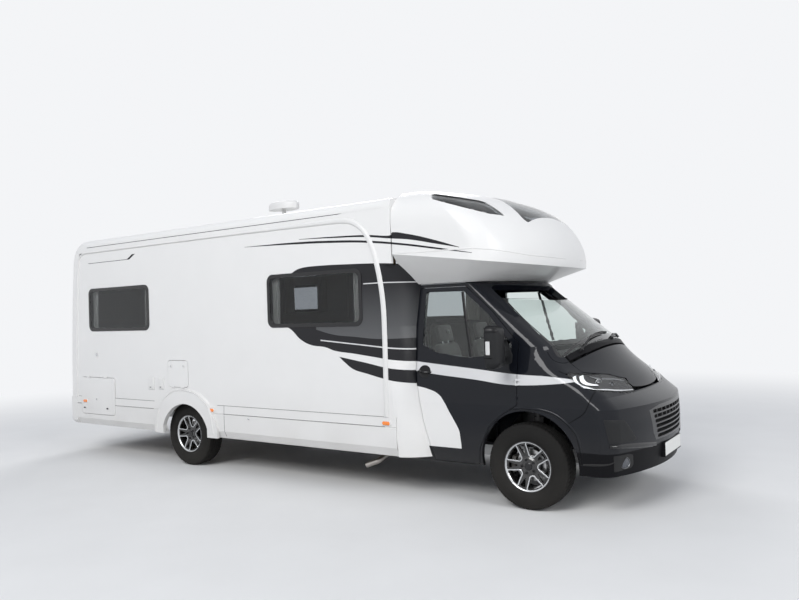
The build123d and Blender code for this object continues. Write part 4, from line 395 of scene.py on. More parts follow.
def noise_of(tree, spot, scale, detail):
    """Noise from 0 to 1 over a point's place."""
    return wired(tree, "ShaderNodeTexNoise", {"Vector": spot, "Scale": scale,
                                              "Detail": detail}).outputs["Fac"]


def maths(tree, operation, a, b=0.0):
    """The result of one sum on two values or sockets."""
    return wired(tree, "ShaderNodeMath", {0: a, 1: b}, operation=operation).outputs[0]


def curve_of(tree, value, table, low, high, out_low, out_high):
    """A smooth curve of a value, from a table of (value, result)."""
    u = wired(tree, "ShaderNodeMapRange", {"Value": value, "From Min": low, "From Max": high}).outputs[0]
    node = wired(tree, "ShaderNodeFloatCurve", {"Value": u})
    curve = node.mapping.curves[0]
    rows = [((x - low) / (high - low), (y - out_low) / (out_high - out_low)) for x, y in table]
    curve.points[0].location = rows[0]
    curve.points[1].location = rows[-1]
    for row in rows[1:-1]:
        curve.points.new(*row)
    for point in curve.points:
        point.handle_type = "AUTO_CLAMPED"
    node.mapping.extend = "HORIZONTAL"
    node.mapping.update()
    return wired(tree, "ShaderNodeMapRange", {"Value": node.outputs[0], "To Min": out_low,
                                              "To Max": out_high}).outputs[0]


def between(tree, value, low, high):
    """1 where a value lies between two others, else 0."""
    above = maths(tree, "GREATER_THAN", value, low)
    below = maths(tree, "LESS_THAN", value, high)
    return maths(tree, "MULTIPLY", above, below)


def place_sockets(tree):
    """A shaded point's x from the front axle, its y, its height, and the point itself."""
    spot = spot_of(tree)
    split = wired(tree, "ShaderNodeSeparateXYZ", {0: spot})
    return maths(tree, "SUBTRACT", split.outputs["X"],
                 FRONT_AXLE), split.outputs["Y"], split.outputs["Z"], spot


# Outlines of the painted graphics, as (x from the front axle, height)
GRAPHIC_TOP = [(-2.73, 1.60), (-2.556, 2.165), (-2.512, 2.181), (-2.412, 2.219), (-2.181, 2.233), (-1.692,
        2.222),
               (-1.436, 2.212), (-1.033, 2.190), (-0.757, 2.190)]
GRAPHIC_FOOT = [(-2.70, 1.66), (-2.556, 1.597), (-2.403, 1.479), (-2.271, 1.429), (-2.084, 1.407), (-1.975,
        1.375),
                (-1.728, 1.346), (-1.382, 1.302), (-1.054, 1.259), (-0.93, 1.248)]
SWOOSH_TOP = [(-1.911, 1.314), (-1.73, 1.284), (-1.559, 1.255), (-1.385, 1.222), (-1.027, 1.172), (-0.93,
        1.158)]
SWOOSH_FOOT = [(-1.911, 1.314), (-1.837, 1.256), (-1.734, 1.192), (-1.563, 1.151), (-1.389, 1.112), (-1.024,
        1.045),
               (-0.93, 1.02)]
LOWER_STRIPE_TOP = [(-3.202, 2.506), (-2.432, 2.495), (-1.978, 2.474), (-1.518, 2.436), (-1.092, 2.375),
                    (-0.759, 2.314), (-0.384, 2.239)]
LOWER_STRIPE_FOOT = [(-3.202, 2.503), (-2.432, 2.474), (-1.979, 2.451), (-1.519, 2.415), (-1.092, 2.356),
                     (-0.76, 2.298), (-0.385, 2.235)]
UPPER_STRIPE_TOP = [(-2.398, 2.524), (-1.936, 2.511), (-1.516, 2.490), (-1.242, 2.462), (-1.227, 2.490),
                    (-1.037, 2.457), (-0.756, 2.379), (-0.505, 2.296)]
UPPER_STRIPE_FOOT = [(-2.399, 2.520), (-1.937, 2.497), (-1.517, 2.470), (-1.264, 2.436), (-1.039, 2.407),
                     (-0.758, 2.347), (-0.505, 2.292)]
SILVER_LINE = [(-2.146, 1.478), (-1.377, 1.408), (-1.050, 1.376), (-0.866, 1.364)]
PANEL_FOOT = [(-2.226, 1.593), (-1.969, 1.533), (-1.721, 1.511), (-1.374, 1.487), (-1.061, 1.489)]
PANEL_EDGE = [(1.37, -1.052), (1.577, -1.060), (1.785, -1.044), (2.014, -1.016)]
DOOR_STRIPE_TOP = [(-1.15, 1.268), (-0.93, 1.246), (-0.50, 1.206), (-0.08, 1.165), (0.25, 1.150), (0.50,
        1.120)]
DOOR_STRIPE_FOOT = [(-1.15, 1.180), (-0.93, 1.152), (-0.50, 1.112), (-0.08, 1.072), (0.25, 1.088), (0.50,
        1.118)]
PATCH_TOP = [(-1.14, 1.040), (-0.98, 1.012), (-0.87, 0.972), (-0.80, 0.895), (-0.758, 0.821), (-0.70, 0.725),
             (-0.655, 0.640), (-0.645, 0.560), (-0.640, 0.470)]


def livery_group():
    """Where the graphics lie on the coach's sides: each band is the height between two curves of x."""
    group, _, end = new_group("side_graphics", [], [("Black", "NodeSocketFloat"), ("Stripes",
            "NodeSocketFloat"),
                                                    ("Panel", "NodeSocketFloat"), ("Lines",
                                                            "NodeSocketFloat")])
    x, y, z, _ = place_sockets(group)
    span = (-3.4, -0.2, 0.9, 2.7)

    def height(table):
        return curve_of(group, x, table, *span)

    def band(foot, top):
        inside = between(group, z, height(foot), height(top))
        return maths(group, "MULTIPLY", inside, between(group, x, max(foot[0][0], top[0][0]), top[-1][0]))

    main = band(GRAPHIC_FOOT, GRAPHIC_TOP)
    swoosh = band(SWOOSH_FOOT, SWOOSH_TOP)
    black = maths(group, "MAXIMUM", main, swoosh)
    stripes = maths(group, "MAXIMUM", band(LOWER_STRIPE_FOOT, LOWER_STRIPE_TOP),
                    band(UPPER_STRIPE_FOOT, UPPER_STRIPE_TOP))
    rear = maths(group, "MULTIPLY", between(group, x, -6.177, -5.33), between(group, z, 2.512, 2.519))
    slash = maths(group, "SUBTRACT", x, maths(group, "MULTIPLY", z, 1.9))
    slash = maths(group, "MULTIPLY", between(group, slash, -10.115, -10.055), between(group, z, 2.512, 2.575))
    stripes = maths(group, "MAXIMUM", stripes, maths(group, "MAXIMUM", rear, slash))
    edge = curve_of(group, z, PANEL_EDGE, 1.3, 2.1, -1.2, -0.9)
    panel = maths(group, "MULTIPLY", between(group, z, height(PANEL_FOOT), 2.019), between(group, x, -2.2,
            edge))
    fade = wired(group, "ShaderNodeMapRange", {"Value": z, "From Min": 2.05, "From Max": 1.50}).outputs[0]
    panel = maths(group, "MULTIPLY", panel, fade)
    lower = maths(group, "SUBTRACT", z, height(SILVER_LINE))
    lower = maths(group, "MULTIPLY", between(group, lower, -0.006, 0.006), between(group, x, -2.146, -0.93))
    top = maths(group, "MULTIPLY", between(group, z, 2.017, 2.027), between(group, x, -1.58, -1.016))
    down = maths(group, "SUBTRACT", x, edge)
    down = maths(group, "MULTIPLY", between(group, down, -0.004, 0.004), between(group, z, 1.38, 2.025))
    lines = maths(group, "MAXIMUM", lower, maths(group, "MAXIMUM", top, down))
    lines = maths(group, "MULTIPLY", lines, main)
    for label, value in (("Black", black), ("Stripes", stripes), ("Panel", panel), ("Lines", lines)):
        group.links.new(value, end.inputs[label])
    return group


def door_group():
    """The silver stripe and the white foot patch on the cab's sides."""
    group, _, end = new_group("cab_graphics", [], [("Stripe", "NodeSocketFloat"), ("Patch",
            "NodeSocketFloat")])
    x, y, z, _ = place_sockets(group)
    span = (-1.2, 0.6, 0.4, 1.3)
    foot, top = (curve_of(group, x, table, *span) for table in (DOOR_STRIPE_FOOT, DOOR_STRIPE_TOP))
    stripe = maths(group, "MULTIPLY", between(group, z, foot, top), between(group, x, -1.2, 0.5))
    patch = maths(group, "MULTIPLY", between(group, z, 0.478, curve_of(group, x, PATCH_TOP, *span)),
                  between(group, x, -1.2, -0.642))
    side = maths(group, "GREATER_THAN", maths(group, "ABSOLUTE", y), 0.75)
    group.links.new(maths(group, "MULTIPLY", stripe, side), end.inputs["Stripe"])
    group.links.new(maths(group, "MULTIPLY", patch, side), end.inputs["Patch"])
    return group


def grain_group():
    """Fine surface grain: a normal bumped by noise of a given scale and depth in metres."""
    group, begin, end = new_group("fine_grain", [("Scale", "NodeSocketFloat", 400.0), ("Depth",
            "NodeSocketFloat", 0.0002)],
                                  [("Normal", "NodeSocketVector")])
    _, _, _, spot = place_sockets(group)
    noise = noise_of(group, spot, begin.outputs["Scale"], 3.0)
    bump = wired(group, "ShaderNodeBump", {"Height": noise, "Distance": begin.outputs["Depth"],
                                           "Strength": 1.0})
    group.links.new(bump.outputs[0], end.inputs["Normal"])
    return group


def dust_group():
    """Road film: more of it low down, broken up by noise."""
    group, begin, end = new_group("road_film", [("Low", "NodeSocketFloat", 0.3), ("High", "NodeSocketFloat",
            0.9),
                                                ("Amount", "NodeSocketFloat", 0.3)],
                                                        [("Film", "NodeSocketFloat")])
    _, _, z, spot = place_sockets(group)
    low = wired(group, "ShaderNodeMapRange", {"Value": z, "From Min": begin.outputs["High"],
                                              "From Max": begin.outputs["Low"]}).outputs[0]
    noise = noise_of(group, spot, 2.3, 5.0)
    film = maths(group, "MULTIPLY", maths(group, "MULTIPLY", low, noise), begin.outputs["Amount"])
    group.links.new(film, end.inputs["Film"])
    return group


GRAIN, FILM, LIVERY, CAB_LIVERY = grain_group(), dust_group(), livery_group(), door_group()


def finish_of(name, colour, roughness, metallic=0.0, coat=0.0, coat_roughness=0.03, grain=None, film=None,
              variation=0.0, ior=1.5, transmission=0.0, sheen=0.0, emission=0.0, specular=0.5):
    """A material with its own principled shader. Grain is (scale, depth), film (low, high, amount)."""
    material = bpy.data.materials.new(name)
    material.use_nodes = True
    tree = material.node_tree
    tree.nodes.clear()
    shader = wired(tree, "ShaderNodeBsdfPrincipled", {
        "Base Color": (*colour, 1.0), "Roughness": roughness, "Metallic": metallic, "Coat Weight": coat,
        "Coat Roughness": coat_roughness, "IOR": ior, "Transmission Weight": transmission,
                                                      "Sheen Weight": sheen,
        "Specular IOR Level": specular})
    if emission:
        shader.inputs["Emission Color"].default_value = (*colour, 1.0)
        shader.inputs["Emission Strength"].default_value = emission
    end = wired(tree, "ShaderNodeOutputMaterial", {"Surface": shader.outputs[0]})
    shade = None
    if variation:
        spot = spot_of(tree)
        noise = noise_of(tree, spot, 3.1, 4.0)
        shade = over(tree, (*[c * (1 - variation) for c in colour], 1.0),
                     (*[min(1, c * (1 + variation)) for c in colour], 1.0), noise)
    if film:
        group = wired(tree, "ShaderNodeGroup", {}, node_tree=FILM)
        for label, value in zip(("Low", "High", "Amount"), film):
            group.inputs[label].default_value = value
        shade = over(tree, shade or (*colour, 1.0), (0.36, 0.33, 0.29, 1.0), group.outputs["Film"])
    if shade is not None:
        tree.links.new(shade, shader.inputs["Base Color"])
    if grain:
        group = wired(tree, "ShaderNodeGroup", {}, node_tree=GRAIN)
        group.inputs["Scale"].default_value, group.inputs["Depth"].default_value = grain
        tree.links.new(group.outputs["Normal"], shader.inputs["Normal"])
    return material


def over(tree, base, top, mask):
    """A colour laid over another where a mask is 1."""
    mix = tree.nodes.new("ShaderNodeMix")
    mix.data_type = "RGBA"
    tree.links.new(mask, mix.inputs[0])
    for socket, value in ((mix.inputs[6], base), (mix.inputs[7], top)):
        if isinstance(value, bpy.types.NodeSocket):
            tree.links.new(value, socket)
        else:
            socket.default_value = value
    return mix.outputs[2]


WHITE = (0.74, 0.735, 0.72)
BLACK_PAINT = (0.0045, 0.0055, 0.0085)
SILVER = (0.62, 0.62, 0.62, 1.0)


def coach_white(name, film):
    """Gloss white body moulding with some road film low down."""
    return finish_of(name, WHITE, 0.30, coat=0.15, coat_roughness=0.06, specular=0.2, grain=(900.0, 0.00003),
                     film=(0.35, 1.0, film), variation=0.02)


def coach_finish(name, masks):
    """Coach white with the given graphics laid over it."""
    material = coach_white(name, 0.30)
    tree = material.node_tree
    shader = shader_of(tree)
    colour = shader.inputs["Base Color"].links[0].from_socket
    group = wired(tree, "ShaderNodeGroup", {}, node_tree=LIVERY)
    if "Black" in masks:
        grey = over(tree, (0.012, 0.012, 0.014, 1.0), (0.095, 0.097, 0.10, 1.0), group.outputs["Panel"])
        colour = over(tree, colour, grey, group.outputs["Black"])
        colour = over(tree, colour, SILVER, group.outputs["Lines"])
    colour = over(tree, colour, (0.012, 0.012, 0.014, 1.0), group.outputs["Stripes"])
    tree.links.new(colour, shader.inputs["Base Color"])
    return material


def cab_finish(name, screen_base):
    """Deep black metallic paint under clear coat: specks at its fine flakes are lighter, partly the flakes'
    own colour and partly painted glints, with the door stripe in silver and the white patch at the door's
    foot."""
    material = finish_of(name, BLACK_PAINT, 0.40, coat=0.5, coat_roughness=0.02, specular=0.05,
                         film=(0.3, 0.75, 0.10))
    tree = material.node_tree
    shader = shader_of(tree)
    spot = spot_of(tree)
    # lighter specks at the flakes: partly the flakes' own colour, partly painted glints
    flake = wired(tree, "ShaderNodeTexVoronoi", {"Vector": spot, "Scale": 900.0})
    painted_flake_glint = wired(tree, "ShaderNodeMapRange", {"Value": flake.outputs["Distance"], "From Min": 0.0,
                                               "From Max": 0.28,
                                               "To Min": 0.35, "To Max": 0.0}).outputs[0]
    colour = over(tree, shader.inputs["Base Color"].links[0].from_socket, (0.014, 0.018, 0.028, 1.0), painted_flake_glint)
    x, y, z, _ = place_sockets(tree)
    scuttle = between(tree, x, 0.165, 0.47)
    scuttle = maths(tree, "MULTIPLY", scuttle, maths(tree, "GREATER_THAN", z, 1.245))
    scuttle = maths(tree, "MULTIPLY", scuttle, maths(tree, "LESS_THAN", maths(tree, "ABSOLUTE", y), 0.80))
    low = maths(tree, "LESS_THAN", z, 0.535)
    front = maths(tree, "GREATER_THAN", x, 0.30)
    matte = maths(tree, "MAXIMUM", maths(tree, "MULTIPLY", scuttle, float(screen_base)), maths(tree,
            "MULTIPLY", low, front))
    group = wired(tree, "ShaderNodeGroup", {}, node_tree=CAB_LIVERY)
    colour = over(tree, colour, SILVER, group.outputs["Stripe"])
    colour = over(tree, colour, (*WHITE, 1.0), group.outputs["Patch"])
    colour = over(tree, colour, (0.009, 0.009, 0.010, 1.0), matte)
    tree.links.new(colour, shader.inputs["Base Color"])
    shine = maths(tree, "SUBTRACT", 0.5, maths(tree, "MULTIPLY", matte, 0.5))
    tree.links.new(shine, shader.inputs["Coat Weight"])
    return material


coach_sides = coach_finish("coach_white_sides", ("Black", "Stripes"))
coach_upper = coach_finish("coach_white_upper", ("Stripes",))
coach_plain = coach_white("coach_white", 0.35)
cab_black = cab_finish("cab_black_metallic", 0)
shell_black = cab_finish("cab_black_scuttle", 1)
white_trim = finish_of("white_trim", (0.70, 0.695, 0.68), 0.38, grain=(700.0, 0.00004), film=(0.35, 1.0, 0.3),
                       variation=0.03)
grained_black = finish_of("grained_black", (0.010, 0.0105, 0.0115), 0.50, specular=0.25, grain=(1400.0,
        0.00012), film=(0.25, 0.8, 0.06),
                          variation=0.15)
gloss_black = finish_of("gloss_black", (0.008, 0.008, 0.009), 0.12, coat=0.4, specular=0.3, variation=0.2)
satin_black = finish_of("satin_black", (0.006, 0.006, 0.007), 0.34, specular=0.25, grain=(900.0, 0.00004),
                        variation=0.2)
rubber = finish_of("seal_rubber", (0.010, 0.010, 0.010), 0.72, grain=(600.0, 0.00008), variation=0.2)
tyre_rubber = finish_of("tyre_rubber", (0.0085, 0.0083, 0.008), 0.75, specular=0.15, grain=(500.0, 0.00015),
                        film=(-0.1, 0.8, 0.10),
                        variation=0.15)
zinc = finish_of("galvanised_steel", (0.42, 0.43, 0.44), 0.45, metallic=0.9, grain=(60.0, 0.0002), film=(0.1,
        0.7, 0.7),
                 variation=0.2)
cast = finish_of("cast_metal", (0.10, 0.10, 0.10), 0.62, metallic=0.6, grain=(300.0, 0.0004), film=(0.1, 0.9,
        0.6),
                 variation=0.25)
steel = finish_of("exhaust_steel", (0.46, 0.44, 0.41), 0.34, metallic=1.0, grain=(180.0, 0.0001), film=(0.1,
        0.5, 0.6),
                  variation=0.15)
disc_steel = finish_of("disc_steel", (0.50, 0.50, 0.50), 0.30, metallic=1.0, grain=(800.0, 0.00008),
                       variation=0.08)
chrome = finish_of("bright_reflector", (0.86, 0.87, 0.88), 0.08, metallic=1.0, variation=0.02)
clear_glass = finish_of("cab_glass", (0.80, 0.86, 0.84), 0.01, transmission=1.0, ior=1.45, film=(1.2, 1.9,
        0.08))
smoked = finish_of("smoked_acrylic", (0.46, 0.48, 0.50), 0.03, transmission=1.0, ior=1.30, film=(1.4, 2.2,
        0.08))
orange_lens = finish_of("orange_lens", (0.85, 0.22, 0.02), 0.18, coat=1.0, grain=(120.0, 0.0006),
                        variation=0.08)
red_lens = finish_of("red_lens", (0.45, 0.012, 0.012), 0.12, coat=1.0, grain=(120.0, 0.0006), variation=0.1)
lamp_black = finish_of("lamp_inside", (0.012, 0.0125, 0.014), 0.25, coat=0.2, specular=0.3, variation=0.3)
lamp_glass = finish_of("headlamp_glass", (0.97, 0.98, 0.99), 0.01, transmission=1.0, ior=1.08, coat=0.35,
                       coat_roughness=0.01,
                       variation=0.01)
lens_dark = finish_of("projector_lens", (0.05, 0.055, 0.065), 0.03, coat=1.0, variation=0.2)
light_bar = finish_of("lamp_light_bar", (0.88, 0.90, 0.92), 0.15, coat=0.6, variation=0.03, grain=(220.0,
        0.0004))
satin_grey = finish_of("satin_grey", (0.16, 0.165, 0.17), 0.30, metallic=0.6, grain=(900.0, 0.00004),
                       variation=0.15)
grille_grey = finish_of("grille_grey", (0.045, 0.045, 0.046), 0.28, specular=0.5, grain=(900.0, 0.00004),
                        variation=0.2)
seam_dark = finish_of("seam_shadow", (0.002, 0.002, 0.002), 0.9, specular=0.1, variation=0.2)
seam_soft = finish_of("seam_grey", (0.10, 0.10, 0.098), 0.8, specular=0.1, variation=0.2)
frit = finish_of("printed_border", (0.006, 0.006, 0.007), 0.10, coat=0.4, variation=0.2)
clear_ribbed = finish_of("clear_ribbed_lens", (0.62, 0.62, 0.61), 0.12, coat=1.0, grain=(150.0, 0.001),
                         variation=0.2)
mirror_glass = finish_of("mirror_glass", (0.85, 0.87, 0.90), 0.02, metallic=1.0, variation=0.01)
plate_white = finish_of("plate_white", (0.78, 0.78, 0.74), 0.35, coat=0.3, grain=(900.0, 0.00003),
                        variation=0.03)
board = finish_of("floor_board", (0.20, 0.15, 0.10), 0.6, grain=(120.0, 0.0003), film=(0.4, 0.8, 0.5),
                  variation=0.2)
dark_inside = finish_of("cab_inside", (0.035, 0.035, 0.037), 0.7, grain=(900.0, 0.0001), variation=0.15)


def veneer_finish():
    """Cabinet veneer: wave bands along X, bent by noise, between two browns."""
    material = finish_of("cabinet_veneer", (0.30, 0.18, 0.09), 0.38, coat=0.15, grain=(200.0, 0.0001))
    tree = material.node_tree
    shader = shader_of(tree)
    spot = spot_of(tree)
    stretched = wired(tree, "ShaderNodeMapping", {"Vector": spot, "Scale": (0.6, 6.0, 8.0)}).outputs[0]
    wave = wired(tree, "ShaderNodeTexWave", {"Vector": stretched, "Scale": 1.6, "Distortion": 6.0,
                                             "Detail": 3.0})
    tree.links.new(over(tree, (0.34, 0.21, 0.11, 1.0), (0.22, 0.12, 0.06, 1.0), wave.outputs["Fac"]),
                   shader.inputs["Base Color"])
    return material


def cloth_finish(name, colour, pitch, depth):
    """Woven cloth: two crossed sine waves of the given thread pitch in metres, over X and over Y + Z,
    give the threads, and a slow noise varies the colour."""
    material = finish_of(name, colour, 0.88, sheen=0.3)
    tree = material.node_tree
    shader = shader_of(tree)
    spot = spot_of(tree)
    split = wired(tree, "ShaderNodeSeparateXYZ", {0: spot})
    turns = 2 * math.pi / pitch
    warp = maths(tree, "SINE", maths(tree, "MULTIPLY", split.outputs["X"], turns))
    across = maths(tree, "ADD", split.outputs["Y"], split.outputs["Z"])
    weft = maths(tree, "SINE", maths(tree, "MULTIPLY", across, turns))
    weave = maths(tree, "MULTIPLY_ADD", maths(tree, "ADD", warp, weft), 0.25)
    slub = noise_of(tree, spot, 14.0, 5.0)
    colours = over(tree, (*[c * 0.78 for c in colour], 1.0), (*[min(1, c * 1.14) for c in colour], 1.0), slub)
    tree.links.new(colours, shader.inputs["Base Color"])
    bump = wired(tree, "ShaderNodeBump", {"Height": weave, "Distance": depth, "Strength": 0.7})
    tree.links.new(bump.outputs[0], shader.inputs["Normal"])
    return material


def cast_wheel_finish():
    """Gloss black wheel: noise mixes a little brake dust into the black."""
    material = finish_of("black_wheel", (0.008, 0.008, 0.009), 0.22, coat=0.7)
    tree = material.node_tree
    shader = shader_of(tree)
    spot = spot_of(tree)
    dust = noise_of(tree, spot, 9.0, 6.0)
    dust = maths(tree, "MULTIPLY", dust, 0.35)
    tree.links.new(over(tree, (0.007, 0.007, 0.008, 1.0), (0.055, 0.050, 0.045, 1.0), dust),
                   shader.inputs["Base Color"])
    return material


def plate_bumper_finish():
    """The coach's white with a blank yellow plate in a thin black edge, flush in the rear bumper."""
    material = coach_white("coach_white_plate", 0.35)
    tree = material.node_tree
    shader = shader_of(tree)
    colour = shader.inputs["Base Color"].links[0].from_socket
    x, y, z, _ = place_sockets(tree)
    behind = maths(tree, "LESS_THAN", x, BUMPER_FACE_X)
    for half_width, half_height, paint in ((0.266, 0.0615, (0.01, 0.01, 0.01, 1.0)), (0.260, 0.0555,
            (0.80, 0.58, 0.05, 1.0))):
        level = between(tree, z, REAR_PLATE_HEIGHT - half_height, REAR_PLATE_HEIGHT + half_height)
        plate = maths(tree, "MULTIPLY", between(tree, y, -half_width, half_width), level)
        colour = over(tree, colour, paint, maths(tree, "MULTIPLY", plate, behind))
    tree.links.new(colour, shader.inputs["Base Color"])
    return material


veneer = veneer_finish()
plate_bumper = plate_bumper_finish()
seat_cloth = cloth_finish("seat_cloth", (0.085, 0.082, 0.080), 0.0026, 0.0006)
curtain_cloth = cloth_finish("curtain_cloth", (0.62, 0.60, 0.55), 0.0020, 0.0004)
wheel_black = cast_wheel_finish()
screen_glass = finish_of("windscreen_glass", (0.80, 0.86, 0.84), 0.01, transmission=1.0, ior=1.45, film=(1.2,
        1.5, 0.10))
machined = finish_of("machined_metal", (0.62, 0.63, 0.64), 0.22, metallic=1.0, grain=(1600.0, 0.00003),
                     variation=0.05)

NODE_FINISH = {
    "wall_right": coach_sides, "wall_left": coach_sides, "cheeks": coach_sides, "overcab_pod": coach_upper,
    "roof_rails": coach_plain, "roof": coach_plain, "rear_panel": coach_plain, "skirts": coach_plain,
    "rear_bumper": plate_bumper, "entry_door": coach_plain, "locker_door_right": coach_plain,
    "service_door_right": coach_plain, "gas_door_left": coach_plain,
    "cab_shell": shell_black, "front_wings": cab_black, "front_bumper": cab_black, "bonnet": cab_black,
    "cab_door_right": cab_black, "cab_door_left": cab_black, "grille": grille_grey,
    "windscreen": screen_glass, "door_glass_right": clear_glass, "door_glass_left": clear_glass,
    "headlamps": lamp_glass, "window_panes": smoked, "entry_window": smoked, "window_frames": gloss_black,
    "mirror_right": grained_black, "mirror_left": grained_black, "chassis_frame": zinc, "rear_axle": cast,
    "knuckle_left": cast, "knuckle_right": cast, "engine": cast, "radiator": satin_black, "exhaust": steel,
    "tanks": grained_black, "dashboard": dark_inside, "steering_wheel": satin_black, "furniture": veneer,
    "washroom": veneer,
    "entry_step": grained_black, "rooflight_front": white_trim, "rooflight_rear": white_trim,
               "aerial": white_trim,
    "rear_lamps": red_lens, "coach_floor": board, "cab_seats": seat_cloth, "cushions": seat_cloth,
    "curtains": curtain_cloth,
}
for node_name, node in CAD.items():
    finish = NODE_FINISH.get(node_name)
    if node_name.startswith("rim_"):
        finish = wheel_black
    if node_name.startswith("tyre_"):
        finish = tyre_rubber
    node.data.materials.clear()
    node.data.materials.append(finish)

# ---- coach mouldings and small side fittings --------------------------------------------------

HOOP = [(-6.505, 0.745), (-6.492, 1.20), (-6.476, 1.632), (-6.432, 2.20), (-6.405, 2.50), (-6.372, 2.605),
        (-6.270, 2.655), (-6.10, 2.660), (-4.60, 2.660), (-3.00, 2.660), (-2.10, 2.660), (-1.84, 2.657),
        (-1.70, 2.632), (-1.58, 2.558), (-1.49, 2.430), (-1.425, 2.250), (-1.375, 2.02), (-1.349, 1.78),
        (-1.345, 1.50), (-1.348, 1.10), (-1.352, 0.747)]
HOOP_WIDTHS = [0.030, 0.030, 0.030, 0.028, 0.024, 0.024, 0.024, 0.026, 0.040, 0.055, 0.058, 0.058, 0.058]
for side, hand in SIDES:
    moulding(f"body_moulding_{hand}", HOOP, HOOP_WIDTHS, 0.016, side, white_trim, count=220)


def side_light(name, x, z, side):
    """An orange side marker in a white surround, on the skirt."""
    side_slab(f"{name}_base", x, z, 1.179, side, (0.058, 0.028), 0.027,
              [(0.0, -0.001), (0.0, 0.004), (0.004, 0.008), (0.012, 0.009)], white_trim)
    side_slab(f"{name}_lens", x, z, 1.187, side, (0.044, 0.019), 0.018,
              [(0.0, -0.001), (0.001, 0.004), (0.005, 0.008), (0.011, 0.010)], orange_lens)


for side, hand in SIDES:
    for number, x in enumerate((-6.300, -3.804, -1.350)):
        side_light(f"side_marker_{hand}_{number}", x, 0.690, side)

# ---- the cab's front ---------------------------------------------------------------------------

LAMP_OUTLINE = [(0.357, 1.165), (0.376, 1.178), (0.440, 1.163), (0.500, 1.152), (0.595, 1.145), (0.690,
        1.101),
                (0.742, 1.030), (0.790, 1.000), (0.790, 0.974), (0.745, 0.985), (0.686, 1.014), (0.600,
                        1.042),
                (0.527, 1.063), (0.436, 1.116)]
CORNER_PANEL = [(-0.074, 0.817), (0.113, 0.803), (0.150, 0.770), (0.249, 0.632), (0.2300, 0.618), (0.0007,
        0.6165),
                (-0.038, 0.6245)]
WING_SEAM = [(0.601, 1.040), (0.564, 0.928), (0.521, 0.855), (0.437, 0.798), (0.366, 0.754)]
# the wing's part of the wheel arch, from the door's front edge forwards
ARCH_LIP = [(-0.121, 0.853), (0.013, 0.861),
            (0.160, 0.850), (0.285, 0.8085), (0.418, 0.698), (0.466, 0.5695), (0.469, 0.430)]
ARCH_MIDDLE = np.array((0.012, 0.405))


def headlamp(side, hand):
    """What shows through a headlamp's lens: a dark bowl, two curved light bars, a projector, a
    second reflector and a bright lower rim, all laid behind the lens on its own skin."""
    view, skin = seen_from("side", side), ["headlamps"]
    laid_pad(f"lamp_bowl_{hand}", LAMP_OUTLINE, [(0.985, -0.020), (0.985, -0.008), (0.94, -0.022), (0.80,
            -0.034),
             (0.50, -0.040), (0.20, -0.040)], skin, view, lamp_black, rounding=1)
    for number, path in enumerate(([(0.414, 1.150), (0.440, 1.112), (0.487, 1.078), (0.575, 1.050)],
                                   [(0.452, 1.150), (0.478, 1.118), (0.516, 1.092), (0.590, 1.070)])):
        laid_strip(f"lamp_bar_{hand}_{number}", path, [0.016, 0.019, 0.013, 0.004], bead_section(0.006,
                -0.006) - (0, 0.014),
                   skin, view, light_bar)
    laid_strip(f"lamp_rim_{hand}", [(0.575, 1.050), (0.640, 1.036), (0.700, 1.014), (0.765, 0.990)],
               [0.004, 0.007, 0.006, 0.003], bead_section(0.004, -0.004) - (0, 0.010), skin, view, chrome)
    laid_strip(f"lamp_fin_{hand}", [(0.500, 1.140), (0.560, 1.118), (0.640, 1.098), (0.690, 1.072)],
               [0.003, 0.010, 0.009, 0.002], bead_section(0.003, -0.004) - (0, 0.014), skin, view, satin_grey)
    for label, x, z, size, material in (("projector", 0.578, 1.088, 0.034, chrome), ("reflector", 0.650,
            1.062, 0.026, satin_grey)):
        starts, way = view(np.array([x]), np.array([z]))
        seat = met(skin, starts, way)[0] + np.array((-0.010, -side * 0.022, -0.004))
        aim = (0.86, side * 0.50, 0.05)
        turned(f"lamp_{label}_{hand}", seat, aim, [(size * 0.95, -0.012), (size, 0.000), (size, 0.007),
                                                   (size * 0.93, 0.0085),
               (size * 0.84, 0.003), (size * 0.74, -0.003)], material)
        turned(f"lamp_{label}_lens_{hand}", seat, aim, [(size * 0.70, -0.008), (size * 0.70, 0.0),
                                                        (size * 0.62, 0.008),
               (size * 0.42, 0.0135), (size * 0.16, 0.0155)], lens_dark)


